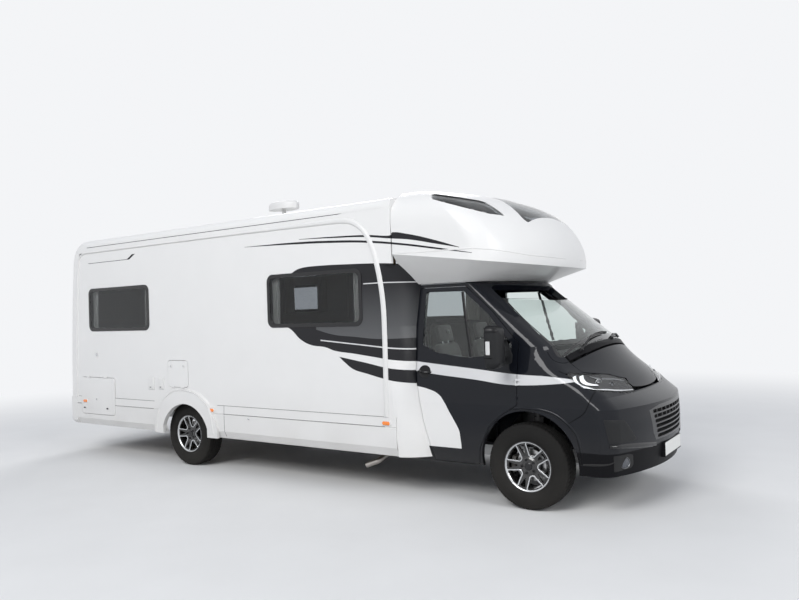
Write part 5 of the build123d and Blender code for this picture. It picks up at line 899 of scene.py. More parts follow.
def outer_trim(side, hand):
    """Seams, arch lip, corner panel, fog panel and lower lip of one front corner."""
    flank, corner = seen_from("side", side), seen_from("corner", side)
    nose = ["front_wings", "front_bumper", "cab_shell"]
    laid_strip(f"wing_seam_{hand}", WING_SEAM, [0.0055], FLAT_SECTION, nose, flank, seam_dark, count=60)
    arch = np.array(ARCH_LIP) - ARCH_MIDDLE
    laid_strip(f"arch_lip_{hand}", ARCH_MIDDLE + 1.040 * arch, [0.020, 0.022, 0.022, 0.020],
               bead_section(0.0035), nose, flank, cab_black, count=120)
    laid_strip(f"arch_edge_{hand}", ARCH_MIDDLE + 1.014 * arch, [0.006], bead_section(0.0048), nose, flank,
               satin_black, count=120)
    laid_pad(f"corner_panel_{hand}", CORNER_PANEL, pad_rows(0.004), ["front_bumper"], corner, grained_black,
             rounding=2)
    laid_strip(f"bumper_bar_{hand}", [(-0.032, 0.597), (0.080, 0.590), (0.258, 0.572), (0.400, 0.552), (0.505,
            0.538)],
               [0.030, 0.040, 0.044, 0.038], bead_section(0.011, power=2.0), ["front_bumper"], corner,
                       gloss_black, count=70)
    laid_pad(f"fog_panel_{hand}", [(0.000, 0.520), (0.150, 0.520), (0.205, 0.505), (0.215, 0.420), (0.190,
            0.395), (0.010, 0.385)],
             pad_rows(0.003), ["front_bumper"], corner, grained_black, rounding=2)
    starts, way = corner(np.array([0.115]), np.array([0.452]))
    seat = met(["front_bumper"], starts, way)[0]
    turned(f"fog_bezel_{hand}", seat, (0.80, side * 0.60, 0.0), [(0.049, -0.006), (0.049, 0.006),
            (0.047, 0.0075), (0.045, 0.005),
           (0.043, 0.001)], satin_grey)
    turned(f"fog_lens_{hand}", seat, (0.80, side * 0.60, 0.0), [(0.043, -0.004), (0.043, 0.002),
            (0.034, 0.006), (0.016, 0.008)], lens_dark)
    laid_strip(f"lower_lip_{hand}", [(-0.225, 0.432), (-0.140, 0.440), (-0.037, 0.452), (0.010, 0.470)],
               [0.014, 0.020, 0.016, 0.008], bead_section(0.004), nose, corner, grained_black, count=50)
    # the rear end of the bonnet's shut line, over the wing
    laid_strip(f"bonnet_shut_{hand}", [(0.300, 1.196), (0.345, 1.176), (0.392, 1.170)], [0.004], FLAT_SECTION,
               nose, flank,
               seam_dark, count=24)
    # door handle: an oval dish with a grip across it
    door = [f"cab_door_{hand}"]
    dish = [(-1.0165 + 0.066 * math.cos(a),
             1.170 + 0.060 * math.sin(a)) for a in np.arange(24) / 24 * 2 * np.pi]
    laid_pad(f"handle_dish_{hand}", dish, [(1.0, -0.002), (1.0, 0.0015), (0.93, 0.0025), (0.86, 0.0012), (0.5,
            0.0006)], door,
             flank, satin_black, f"cab_door_{hand}")
    starts, way = flank(np.linspace(-1.088, -0.945, 7), np.linspace(1.175, 1.165, 7))
    grip = met(door, starts, way)
    grip[:, 1] += side * np.array([-0.002, 0.010, 0.019, 0.022, 0.019, 0.010, -0.002])
    rod(f"door_grip_{hand}", grip, [0.010, 0.0125, 0.013, 0.0125, 0.010], gloss_black, f"cab_door_{hand}",
        flat=0.75)
    # the mirror's sail panel at the door's front corner, and the quarter light's post
    laid_pad(f"mirror_sail_{hand}", [(-0.262, 1.520), (-0.215, 1.515), (-0.118, 1.330), (-0.120, 1.262),
                                     (-0.150, 1.250),
             (-0.262, 1.250)], pad_rows(0.006), [f"cab_door_{hand}", f"door_glass_{hand}"], flank,
             grained_black,
             f"cab_door_{hand}", rounding=2)
    laid_strip(f"quarter_post_{hand}", [(-0.658, 1.925), (-0.605, 1.640), (-0.528, 1.278)], [0.030, 0.030,
            0.034],
               bead_section(0.003), [f"door_glass_{hand}"], flank, satin_black, f"cab_door_{hand}", count=40)


def mirror(side, hand):
    """A tall door mirror: rounded shell, darker cap, two glasses, clear indicator and two arms."""
    body = f"cab_door_{hand}"
    centre = np.array((FRONT_AXLE - 0.2145, side * 1.2145, 1.4115))
    shell = slab(f"mirror_head_{hand}", centre, (1, 0, 0), (0, 0, 1), (0.100, 0.1850), 0.062,
                 [(0.004, 0.0), (0.0, 0.006), (0.0, 0.040), (0.006, 0.070), (0.020, 0.098), (0.042, 0.116),
                  (0.066, 0.124),
                  (0.085, 0.1265)], grained_black, body, count=96)
    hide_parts(f"mirror_{hand}")
    slab(f"mirror_cap_{hand}", centre + (0.002, 0, 0.1365), (1, 0, 0), (0, 0, 1), (0.1012, 0.0490), 0.048,
         [(0.006, 0.0), (0.0, 0.008), (0.0, 0.040), (0.006, 0.069), (0.018, 0.095), (0.034, 0.108), (0.044,
                 0.112)],
         satin_black, body, count=72)
    slab(f"mirror_seam_{hand}", centre + (0.001, 0, -0.088), (1, 0, 0), (0, 0, 1), (0.1006, 0.0045), 0.0035,
         [(0.001, 0.0), (0.0, 0.004), (0.0, 0.040), (0.003, 0.072)], seam_dark, body)
    slab(f"mirror_rim_{hand}", centre + (0.001, 0, 0), (-1, 0, 0), (0, 0, 1), (0.092, 0.176), 0.054,
         [(0.0, -0.003), (0.0, 0.001), (0.004, 0.0015), (0.007, -0.001)], satin_black, body)
    slab(f"mirror_glass_main_{hand}", centre + (0.0005, 0, 0.045), (-1, 0, 0), (0, 0, 1), (0.080, 0.116),
         0.034,
         [(0.0, -0.002), (0.0, 0.0016), (0.002, 0.0019)], mirror_glass, body)
    slab(f"mirror_glass_wide_{hand}", centre + (0.0005, 0, -0.122), (-1, 0, 0), (0, 0, 1), (0.078, 0.042),
         0.026,
         [(0.0, -0.002), (0.0, 0.0016), (0.010, 0.0030), (0.030, 0.0040)], mirror_glass, body)
    spot = (FRONT_AXLE - 0.1790, side * 1.3125, 1.409)
    slab(f"mirror_lamp_rim_{hand}", spot, (0, side, 0), (0, 0, 1), (0.0245, 0.062), 0.012,
         [(0.0, -0.004), (0.0, 0.0040), (0.003, 0.0055), (0.005, 0.0035)], satin_black, body)
    slab(f"mirror_lamp_{hand}", spot, (0, side, 0), (0, 0, 1), (0.0200, 0.0570), 0.009,
         [(0.0, -0.003), (0.0, 0.0045), (0.004, 0.0066), (0.011, 0.0072)], clear_ribbed, body)
    for number, (z, foot) in enumerate(((1.505, 1.460), (1.330, 1.300))):
        path = [(FRONT_AXLE - 0.170, side * 1.130, z), (FRONT_AXLE - 0.176, side * 1.070, z - 0.006),
                (FRONT_AXLE - 0.196, side * 1.010, foot + 0.008), (FRONT_AXLE - 0.205, side * 0.965, foot)]
        rod(f"mirror_arm_{hand}_{number}", path, [0.020, 0.019, 0.021, 0.024], grained_black, body, flat=0.72)


for side, hand in SIDES:
    headlamp(side, hand)
    outer_trim(side, hand)
    mirror(side, hand)


def front_middle():
    """The windscreen's printed border, the wipers, the grille's posts and the front plate."""
    front, screen, above = seen_from("front"), seen_from("screen"), seen_from("top")
    for side, hand in SIDES:
        laid_strip(f"screen_border_{hand}", [(-0.430, side * 0.838), (-0.2, side * 0.823), (0.1,
                side * 0.797), (0.42, side * 0.741)],
                   [0.050, 0.046, 0.042, 0.045], FLAT_SECTION, ["windscreen"], screen, frit, count=60)
    laid_strip("screen_border_foot", [(-0.425, -0.80), (-0.402, -0.45), (-0.392, 0.0), (-0.402, 0.45),
                                      (-0.425, 0.80)],
               [0.085], FLAT_SECTION, ["windscreen"], screen, frit, count=120)
    laid_strip("screen_border_head", [(0.385, -0.73), (0.400, -0.35), (0.406, 0.0), (0.400, 0.35), (0.385,
            0.73)],
               [0.070], FLAT_SECTION, ["windscreen"], screen, frit, count=120)
    for number, (pivot, bend, tip) in enumerate((((-0.440, -0.600), (-0.375, -0.330), (-0.352, 0.020)),
                                                 ((-0.430, 0.080), (-0.372, 0.360), (-0.352, 0.660)))):
        path = np.array([pivot, bend, tip])
        starts, way = screen(path[:, 0], path[:, 1])
        seat = met(["windscreen", "cab_shell"], starts, way) - np.array([[0.020], [0.026],
                [0.018]]) * np.asarray(way)
        rod(f"wiper_arm_{number}", seat, [0.010, 0.008, 0.006], satin_black, flat=0.6)
        turned(f"wiper_pivot_{number}", seat[0] + np.asarray(way) * 0.014, -np.asarray(way),
               [(0.020, -0.014), (0.020, 0.010), (0.017, 0.018), (0.008, 0.021)], satin_black)
        blade = [(tip[0] + 0.004 + slope, tip[1] + reach) for reach, slope in ((-0.330, -0.012),
                (-0.165, 0.004), (0.0, 0.010),
                                                                       (0.130, 0.006))]
        laid_strip(f"wiper_blade_{number}", blade, [0.012], [(-1, 0.002), (-1, 0.012), (0, 0.018), (1, 0.012),
                (1, 0.002)],
                   ["windscreen"], screen, rubber, count=60)
    for row in (4, 5):
        for number, y in enumerate(np.linspace(-0.36, 0.36, 8)):
            foot = 0.591 + 0.043 * row
            spots = []
            for z in (foot - 0.005, foot + 0.035):
                starts, way = front(np.array([y]), np.array([z]))
                spots.append(met(["grille"], starts, way)[0] - (0.0055, 0, 0))
            rod(f"grille_post_{row}_{number}", [spots[0], (spots[0] + spots[1]) / 2, spots[1]], [0.006,
                    0.006], grille_grey,
                count=6)
    slab("front_plate", (FRONT_AXLE + 0.9628, 0.0, 0.4705), (1, 0, 0), (0, 0, 1), (0.260, 0.0555), 0.006,
         [(0.0, -0.004), (0.0, 0.0008), (0.001, 0.0014)], plate_white)
    slab("front_plate_edge", (FRONT_AXLE + 0.9632, 0.0, 0.4705), (1, 0, 0), (0, 0, 1), (0.264, 0.0595), 0.008,
         [(0.0, -0.004), (0.0, 0.0002), (0.001, 0.0004)], gloss_black)


front_middle()


# ---- soft furnishings --------------------------------------------------------------------------

def cushion(name, centre, right, ahead, size, material, node, channels=(), body="root", rows=44,
            cols=112):
    """A padded cushion. At latitude t and longitude s its point is width, depth and height times
    rounded powers of cosine and sine. The sides pull in between the corners, the faces are crowned,
    the seam at the equator is drawn in, and a sewn channel sinks as a narrow bell across the width."""
    t = np.linspace(-1, 1, rows) * np.pi / 2 * 0.995
    s = np.arange(cols) / cols * 2 * np.pi
    t, s = np.meshgrid(t, s, indexing="ij")

    def power(value, p):
        return np.sign(value) * np.abs(value) ** p

    x = power(np.cos(t), 0.42) * power(np.cos(s), 0.30)
    y = power(np.cos(t), 0.42) * power(np.sin(s), 0.30)
    z = power(np.sin(t), 0.62)
    crown = 0.74 + 0.26 * (1 - x**2) * (1 - y**2)
    pull = 1 - 0.035 * np.abs(np.cos(t))
    x, y = x * (1 - 0.030 * (1 - y**2)), y * (1 - 0.030 * (1 - x**2))
    seam = 1 - 0.018 * np.exp(-(t / 0.07) ** 2)
    x, y, z = x * seam * pull, y * seam * pull, z * crown
    for place in channels:
        z = z * (1 - 0.20 * np.exp(-((y - place) / 0.035) ** 2))
    wrinkle = 0.010 * np.sin(9 * x + 3 * y) * np.sin(7 * y - 2 * x)
    z = z * (0.975 + wrinkle)
    right, ahead = np.asarray(right, float), np.asarray(ahead, float)
    up = np.cross(right, ahead)
    rings = (np.asarray(centre, float) + (x * size[0] / 2)[..., None] * right + (y * size[1] / 2)[...,
            None] * ahead
             + (z * size[2] / 2)[..., None] * up)
    made = rings_piece(name, rings, material, body, sharp=180)
    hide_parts(node)
    return made


def curtain(name, x_low, z_low, z_high, side, pleats=7, width=0.190):
    """A pleated curtain: at u along it and v down it, its depth is a sine of u whose folds open
    towards the hem, given a thickness by a second sheet behind the first."""
    u, v = np.meshgrid(np.linspace(0, 1, 141), np.linspace(0, 1, 40), indexing="ij")
    swing = (0.0048 + 0.0018 * v) * np.sin(2 * np.pi * pleats * u + 0.5 * np.sin(3.0 * v + 5 * u))
    face = np.empty((*u.shape, 3))
    face[..., 0] = FRONT_AXLE + x_low + width * (0.01 + 0.98 * u) + 0.0012 * np.sin(14 * v + 9 * u)
    face[..., 1] = side * (1.1210 + swing)
    face[..., 2] = z_high - (z_high - z_low) * v
    back = face - np.array((0.0, side * 0.0012, 0.0))
    loop = np.concatenate([face, back[:, ::-1]], axis=1)
    made = rings_piece(name, loop, curtain_cloth, sharp=180)
    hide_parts("curtains")


RIGHT_WINDOWS = ((-6.174, -4.918, 1.624), (-2.866, -1.610, 1.624))
LEFT_WINDOWS = RIGHT_WINDOWS + ((-4.740, -4.040, 1.790),)
for side, hand, windows in ((-1, "right", RIGHT_WINDOWS), (1, "left", LEFT_WINDOWS)):
    for number, (rear, front, foot) in enumerate(windows):
        for end, x_low in (("rear", rear - 0.060), ("front", front - 0.130)):
            curtain(f"curtain_{hand}_{number}_{end}", x_low, foot - 0.025, 2.280, side)
    for number in range(2):
        middle = -2.940 + 0.685 * (number + 0.5)
        cushion(f"bench_cushion_{hand}_{number}", (FRONT_AXLE + middle, side * 0.799, 1.125), (1, 0, 0), (0,
                1, 0),
                (0.680, 0.416, 0.132), seat_cloth, "cushions")
        cushion(f"bench_back_{hand}_{number}", (FRONT_AXLE + middle, side * 1.053, 1.320), (1, 0, 0), (0, 0,
                1),
                (0.680, 0.516, 0.080), seat_cloth, "cushions", channels=(-0.35, 0.35))
    seat = np.array((FRONT_AXLE - 0.872, side * 0.400, 0.0))
    cushion(f"cab_seat_base_{hand}", seat + (0.045, 0, 0.838), (0, 1, 0), (-1, 0, 0), (0.478, 0.560, 0.140),
            seat_cloth,
            "cab_seats", channels=(-0.30, 0.25))
    lean = np.array((-0.235, 0.0, 0.972))
    cushion(f"cab_seat_back_{hand}", seat + (-0.200, 0, 1.135), (0, 1, 0), lean, (0.470, 0.580, 0.120),
            seat_cloth,
            "cab_seats", channels=(-0.35, 0.05, 0.45))
    cushion(f"cab_headrest_{hand}", seat + (-0.277, 0, 1.505), (0, 1, 0), lean, (0.270, 0.175, 0.095),
            seat_cloth,
            "cab_seats")
    for number, offset in enumerate((-0.055, 0.055)):
        rod(f"headrest_post_{hand}_{number}", [seat + (-0.262, offset, 1.385), seat + (-0.268, offset, 1.44),
            seat + (-0.273, offset, 1.48)], [0.007, 0.007], machined)
    slab(f"cab_seat_skirt_{hand}", seat + (0.020, 0, 0.625), (0, 0, 1), (1, 0, 0), (0.205, 0.250), 0.040,
         [(0.02, -0.153), (0.0, -0.14), (0.0, 0.10), (0.012, 0.145), (0.03, 0.150)], grained_black)
for number, (low, high) in enumerate(((-6.380, -5.640), (-5.638, -4.900))):
    cushion(f"bed_mattress_{number}", (FRONT_AXLE + (low + high) / 2, 0.0, 1.155), (1, 0, 0), (0, 1, 0),
            (high - low, 2.150, 0.140), curtain_cloth, "cushions", channels=(-0.66, -0.33, 0.0, 0.33, 0.66))

# ---- the coach's fittings -----------------------------------------------------------------------

def side_seam(name, path, width, side, material, nodes, height=None, count=80):
    """A flat seam, or a bead of a given height, along a path on a side."""
    section = FLAT_SECTION if height is None else bead_section(height)
    laid_strip(name, path, [width], section, nodes, seen_from("side", side), material, count=count)


def lock(name, x, z, y, side, body, material, round_one=True, size=0.020):
    """A small lock: a stepped round or oval escutcheon with a raised barrel."""
    if round_one:
        spot = (FRONT_AXLE + x, side * y, z)
        turned(f"{name}_ring", spot, (0, side, 0), [(size, -0.002), (size, 0.0025), (size * 0.88, 0.004),
                                                    (size * 0.6, 0.004),
               (size * 0.55, 0.0028)], material, body)
        turned(f"{name}_barrel", spot, (0, side, 0), [(size * 0.5, -0.001), (size * 0.5, 0.0055),
                                                      (size * 0.42, 0.0065)], machined, body)
    else:
        side_slab(f"{name}_plate", x, z, y, side, (size * 1.9, size * 0.8), size * 0.7,
                  [(0.0, -0.002), (0.0, 0.003), (0.003, 0.0055), (0.008, 0.006)], material, body)
        side_slab(f"{name}_thumb", x, z, y + 0.004, side, (size * 1.0, size * 0.45), size * 0.4,
                  [(0.0, -0.002), (0.0, 0.003), (0.002, 0.005)], satin_black, body)


def vent(name, x, z, half, side, slats=7):
    """A louvred vent: a framed slab with slanted slats, each a flattened bar."""
    y = WALL_Y + 0.0005
    side_slab(f"{name}_frame", x, z, y, side, half, 0.015,
              [(0.0, -0.002), (0.0, 0.005), (0.004, 0.009), (0.016, 0.009), (0.020, 0.0035)], white_trim)
    for number in range(slats):
        height = z + half[1] * 0.78 * (2 * (number + 0.5) / slats - 1)
        slab(f"{name}_slat_{number}", (FRONT_AXLE + x, side * (y + 0.0035), height), (0, side, -0.45), (0, 0,
                1),
             (half[0] - 0.024, half[1] * 0.080), 0.004, [(0.0, -0.002), (0.0, 0.004), (0.002, 0.0052)],
             white_trim)


ARCH_FLARE = [(-4.798, 0.393), (-4.752, 0.604), (-4.680, 0.766), (-4.580, 0.845), (-4.459, 0.889), (-4.280,
        0.905),
              (-4.088, 0.882), (-3.970, 0.835), (-3.870, 0.760), (-3.800, 0.610), (-3.763, 0.419)]
for side, hand in SIDES:
    sills = ["skirts", f"wall_{hand}"]
    side_seam(f"arch_flare_{hand}", ARCH_FLARE, 0.030, side, white_trim, sills, height=0.007, count=120)
    side_seam(f"skirt_seam_{hand}", [(-6.50, 0.748), (-4.85, 0.748)], 0.004, side, seam_soft, sills)
    side_seam(f"skirt_seam_front_{hand}", [(-3.72, 0.748), (-1.37, 0.748)], 0.004, side, seam_soft, sills)
    side_seam(f"skirt_groove_{hand}", [(-3.62, 0.655), (-1.37, 0.655)], 0.006, side, seam_soft, sills)
    side_seam(f"skirt_groove_rear_{hand}", [(-6.50, 0.655), (-4.86, 0.655)], 0.006, side, seam_soft, sills)
    side_seam(f"skirt_join_{hand}", [(-3.600, 0.745), (-3.600, 0.400)], 0.004, side, seam_dark, sills,
              count=30)
    side_seam(f"rail_line_{hand}", [(-6.20, 2.728), (-1.32, 2.728)], 0.006, side, seam_dark, ["roof_rails"])
    corner = seen_from("corner", side)
    laid_strip(f"pod_belt_{hand}", [(-0.97, 2.2755), (-0.70, 2.247), (-0.44, 2.213), (-0.15, 2.197), (0.10,
            2.188)],
               [0.012], bead_section(0.004), ["overcab_pod"], corner, white_trim, count=90)
    laid_strip(f"pod_belt_side_{hand}", [(-1.195, 2.297), (-1.019, 2.284), (-0.700, 2.280), (-0.380, 2.276)],
               [0.012], bead_section(0.004), ["overcab_pod"], seen_from("side", side), white_trim, count=60)
for name, x, z, y, side, body, round_one in (
        ("locker_catch_rear", -6.316, 0.602, SKIRT_DOOR_Y, -1, "locker_door", False),
        ("locker_catch_front", -5.805, 0.607, SKIRT_DOOR_Y, -1, "locker_door", False),
        ("locker_lock", -6.043, 0.721, SKIRT_DOOR_Y, -1, "locker_door", True),
        ("hatch_knob_rear", -4.512, 1.181, HATCH_Y, -1, "service_door", True),
        ("hatch_knob_front", -4.2835, 1.184, HATCH_Y, -1, "service_door", True),
        ("skirt_lock", -3.209, 0.625, 1.1800, -1, "root", True),
        ("gas_catch_rear", -5.610, 0.602, SKIRT_DOOR_Y, 1, "gas_door", False),
        ("gas_catch_front", -5.040, 0.602, SKIRT_DOOR_Y, 1, "gas_door", False)):
    lock(name, x, z, y, side, body, white_trim, round_one)
lock("filler_cap", -6.035, 1.3075, 1.1710, -1, "root", white_trim, size=0.045)
for number, (rear, front, foot, top) in enumerate(((-4.958, -4.841, 0.887, 1.0365), (-4.760, -4.656, 0.894,
        1.041))):
    x, z = (rear + front) / 2, (foot + top) / 2
    half = ((front - rear) / 2, (top - foot) / 2)
    side_slab(f"socket_box_{number}", x, z, 1.1705, -1, half, 0.012,
              [(0.0, -0.002), (0.0, 0.006), (0.003, 0.009), (0.010, 0.010)], white_trim)
    side_slab(f"socket_lid_{number}", x, z, 1.1800, -1, (half[0] - 0.013, half[1] - 0.016), 0.010,
              [(0.0, -0.002), (0.0, 0.003), (0.003, 0.0055), (0.012, 0.006)], white_trim)
    side_slab(f"socket_thumb_{number}", x, z - half[1] + 0.030, 1.1855, -1, (0.014, 0.005), 0.004,
              [(0.0, -0.001), (0.0, 0.002), (0.002, 0.003)], satin_grey)
vent("fridge_vent_low", -4.390, 1.050, (0.240, 0.150), 1)
vent("fridge_vent_high", -4.390, 1.500, (0.240, 0.150), 1)

# entry door: handle, lock and seal on the left side
DOOR_RING = rounded_outline(0.291, 0.891, 0.060, 96) + (-3.325, 1.540)
laid_strip("entry_seal", np.concatenate([DOOR_RING[:-1], DOOR_RING[:1]]), [0.007], FLAT_SECTION,
           ["entry_door"],
           seen_from("side", 1), seam_dark, "entry_door", count=96, round_path=False)
HANDLE_X = -3.560
side_slab("entry_handle_plate", HANDLE_X, 1.250, 1.1915, 1, (0.024, 0.085), 0.022,
          [(0.0, -0.003), (0.0, 0.003), (0.004, 0.006), (0.012, 0.0065)], gloss_black, "entry_door")
rod("entry_handle_grip", [(FRONT_AXLE + HANDLE_X, y, z) for y, z in ((1.190, 1.310), (1.2040, 1.300),
        (1.2060, 1.250),
    (1.2040, 1.200), (1.190, 1.190))], [0.007, 0.008, 0.007], satin_grey, "entry_door", flat=0.7)
lock("entry_lock", HANDLE_X, 1.120, 1.1905, 1, "entry_door", gloss_black, size=0.015)

# rear lamps: indicator, brake and reversing sections on each cluster
for side, hand in SIDES:
    back = seen_from("rear")
    for label, z, material in (("indicator", 1.200, orange_lens), ("reverse", 0.960, clear_ribbed), ("brake",
            1.075, red_lens)):
        ring = rounded_outline(0.052, 0.042, 0.016, 48) + (side * 0.9775, z)
        laid_pad(f"rear_lamp_{label}_{hand}", ring, [(1.0, -0.002), (1.0, 0.0015), (0.96, 0.0035), (0.7,
                0.0045), (0.3, 0.005)],
                 ["rear_lamps"], back, material, rounding=0)
        laid_pad(f"rear_lamp_{label}_ring_{hand}", ring, [(1.06, -0.002), (1.06, 0.001), (1.03, 0.002),
                                                          (0.985, 0.001)],
                 ["rear_lamps"], back, chrome, rounding=0)


# ---- wheels -------------------------------------------------------------------------------------

TYRE_SECTION = [(0.2035, -0.086), (0.212, -0.089), (0.222, -0.0935), (0.232, -0.1015), (0.246, -0.1075),
                (0.262, -0.1112), (0.285, -0.1122), (0.306, -0.1108), (0.326, -0.1068), (0.342, -0.1022),
                (0.3535, -0.0992), (0.3605, -0.0950), (0.3655, -0.0880)]
GROOVES = (-0.046, -0.0155, 0.0155, 0.046)


def round_axle(x, half_track, side, angle, radius, out):
    """Points round a wheel's axle, from angles, radii and distances out from its middle plane."""
    rings = np.empty((len(angle), radius.shape[-1], 3))
    rings[..., 0] = x + radius * np.cos(angle)[:, None]
    rings[..., 1] = side * (half_track + out)
    rings[..., 2] = AXLE_HEIGHT + radius * np.sin(angle)[:, None]
    return rings


def tyre(name, x, half_track, side, body):
    """A treaded tyre. Its section runs from bead to bead over the side walls and the tread. The
    radius at angle a and width w is lowered in four rings round the tyre and in slanting sipes,
    where cos(72 a + phase(w)) is near 1; shoulder blocks use a slower wave."""
    flank = np.array(TYRE_SECTION)
    tread = np.linspace(-0.0840, 0.0840, 43)
    crown = 0.3716 - 0.0045 * (tread / 0.084) ** 4
    section = np.concatenate([flank, np.stack([crown, tread], 1), (flank * (1, -1))[::-1]])
    radius, width = section[:, 0], section[:, 1]
    turns = 540
    angle = np.arange(turns) / turns * 2 * np.pi
    ring = np.full((turns, len(section)), 1.0) * radius
    w = np.abs(width)
    on_tread = w < 0.0845
    groove = np.zeros_like(width)
    for centre in GROOVES:
        groove = np.maximum(groove, np.clip(1.9 - np.abs(width - centre) / 0.0028, 0, 1))
    cut = np.cos(60 * angle[:, None] + 95 * np.abs(width)[None] * np.sign(width + 1e-9)[None])
    sipe = np.clip((cut - 0.86) / 0.06, 0, 1) * ((w > 0.018) & (w < 0.043))[None]
    block = np.cos(60 * angle[:, None] + 60 * width[None])
    shoulder = np.clip((block - 0.70) / 0.08, 0, 1) * (w > 0.049)[None]
    centre_rib = np.clip((np.cos(60 * angle[:, None] + 220 * width[None]) - 0.93) / 0.04, 0,
                         1) * (w < 0.012)[None]
    depth = np.maximum(np.maximum(0.0075 * groove[None], 0.0045 * sipe), np.maximum(0.0060 * shoulder,
            0.003 * centre_rib))
    ring -= depth * on_tread[None]
    bars = np.clip((np.cos(60 * angle[:, None]) - 0.55) / 0.15, 0, 1) * ((radius > 0.345) & ~on_tread)[None]
    ring -= 0.0025 * bars
    rings = round_axle(x, half_track, side, angle, ring, width[None])
    faces = [grid_faces(turns, len(section), wrap_rows=True, wrap_cols=True)]
    made = piece(name, rings, faces, tyre_rubber, body, sharp=28)
    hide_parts(name.replace("treaded_", ""))
    for number, reach in enumerate((0.238, 0.336)):
        face = np.interp(reach, flank[:, 0], -flank[:, 1])
        hoop = [(reach - 0.0025, face), (reach, face + 0.0010), (reach + 0.0025, face), (reach, face - 0.003)]
        band(f"{name}_line_{number}", x, half_track, side, hoop, tyre_rubber, body)


def band(name, x, half_track, side, profile, material, body, count=120, sharp=35):
    """A ring that goes round a wheel's axle: its closed profile's rows are radius and distance out
    from the wheel's middle plane."""
    angle = np.arange(count) / count * 2 * np.pi
    profile = np.asarray(profile, float)
    rings = round_axle(x, half_track, side, angle, profile[None, :, 0], profile[None, :, 1])
    faces = [grid_faces(count, len(profile), wrap_rows=True, wrap_cols=True)]
    return piece(name, rings, faces, material, body, sharp=sharp)


def wheel_face(radius):
    """How far out from the wheel's middle plane the spokes' faces stand at a radius."""
    return np.interp(radius, [0.0, 0.066, 0.082, 0.195], [0.076, 0.078, 0.070, 0.086])


def spoke_trim(name, x, half_track, side, turn, body):
    """A machined edge round one wide window: a flat band along the window's outline, open at the
    wheel's lip, on the dished face."""
    outline = [(0.2000, -0.064), (0.1800, -0.0745), (0.1380, -0.0490), (0.0960, -0.0235), (0.0865, -0.0120),
               (0.0850, 0.0), (0.0865, 0.0120), (0.0960, 0.0235), (0.1380, 0.0490), (0.1800, 0.0745), (0.2000,
                       0.064)]
    path = smooth_path(outline, 60)
    across = across_path(path)
    section = np.array([(-1, -0.002), (-1, 0.0012), (-0.8, 0.0020), (0.8, 0.0020), (1, 0.0012), (1, -0.002)])
    place = path[:, None] + across[:, None] * section[None, :, :1] * 0.0052
    reach = np.linalg.norm(place, axis=2)
    out = wheel_face(reach) + section[None, :, 1]
    c, s = math.cos(turn), math.sin(turn)
    rings = np.empty((*place.shape[:2], 3))
    rings[..., 0] = x + c * place[..., 0] - s * place[..., 1]
    rings[..., 1] = side * (half_track + out)
    rings[..., 2] = AXLE_HEIGHT + s * place[..., 0] + c * place[..., 1]
    return rings_piece(name, rings, machined, body)


def wheel(place, x, half_track, side):
    """The details of one wheel: tyre, machined lip and window edges, hub cap, bolts and valve."""
    body = f"{place}_wheel"
    tyre(f"treaded_tyre_{place}", x, half_track, side, body)
    band(f"rim_lip_{place}", x, half_track, side,
         [(0.197, 0.082), (0.2005, 0.0895), (0.2075, 0.0965), (0.2125, 0.0975), (0.2125, 0.0955), (0.205,
                 0.088)],
         machined, body)
    for k in range(5):
        spoke_trim(f"spoke_edge_{place}_{k}", x, half_track, side, k * 2 * math.pi / 5, body)
        turn = (k + 0.5) * 2 * math.pi / 5
        spot = (x + 0.059 * math.cos(turn), side * (half_track + 0.0765),
                AXLE_HEIGHT + 0.059 * math.sin(turn))
        turned(f"wheel_bolt_{place}_{k}", spot, (0, side, 0),
               [(0.0125, -0.002), (0.0125, 0.003), (0.0105, 0.005), (0.0095, 0.014), (0.0075, 0.016)],
               satin_black, body,
               count=6, sharp=20)
    turned(f"hub_cap_{place}", (x, side * (half_track + 0.076), AXLE_HEIGHT), (0, side, 0),
           [(0.034, -0.002), (0.034, 0.004), (0.0325, 0.0075), (0.029, 0.0095), (0.026, 0.0085), (0.018,
                   0.0095), (0.006, 0.0100)],
           gloss_black, body)
    band(f"brake_disc_{place}", x, half_track, side,
         [(0.075, -0.0135), (0.136, -0.0135), (0.1365, 0.0), (0.136, 0.0128), (0.130, 0.0134), (0.075,
                 0.0134)],
         disc_steel, body)
    turned(f"tyre_valve_{place}", (x - 0.150 * math.sin(0.3), side * (half_track + 0.079),
                                   AXLE_HEIGHT + 0.150 * math.cos(0.3)),
           (0, side, 0), [(0.0045, 0.0), (0.0045, 0.006), (0.0030, 0.008), (0.0030, 0.016), (0.0020, 0.017)],
           rubber, body, count=10)


for end, x in (("front", FRONT_AXLE), ("rear", REAR_AXLE)):
    for side, hand in SIDES:
        wheel(f"{end}_{hand}", x, HALF_TRACKS[end], side)


# ---- floor, lights and camera ------------------------------------------------------------------

BACKGROUND = (0.95, 0.96, 0.98)


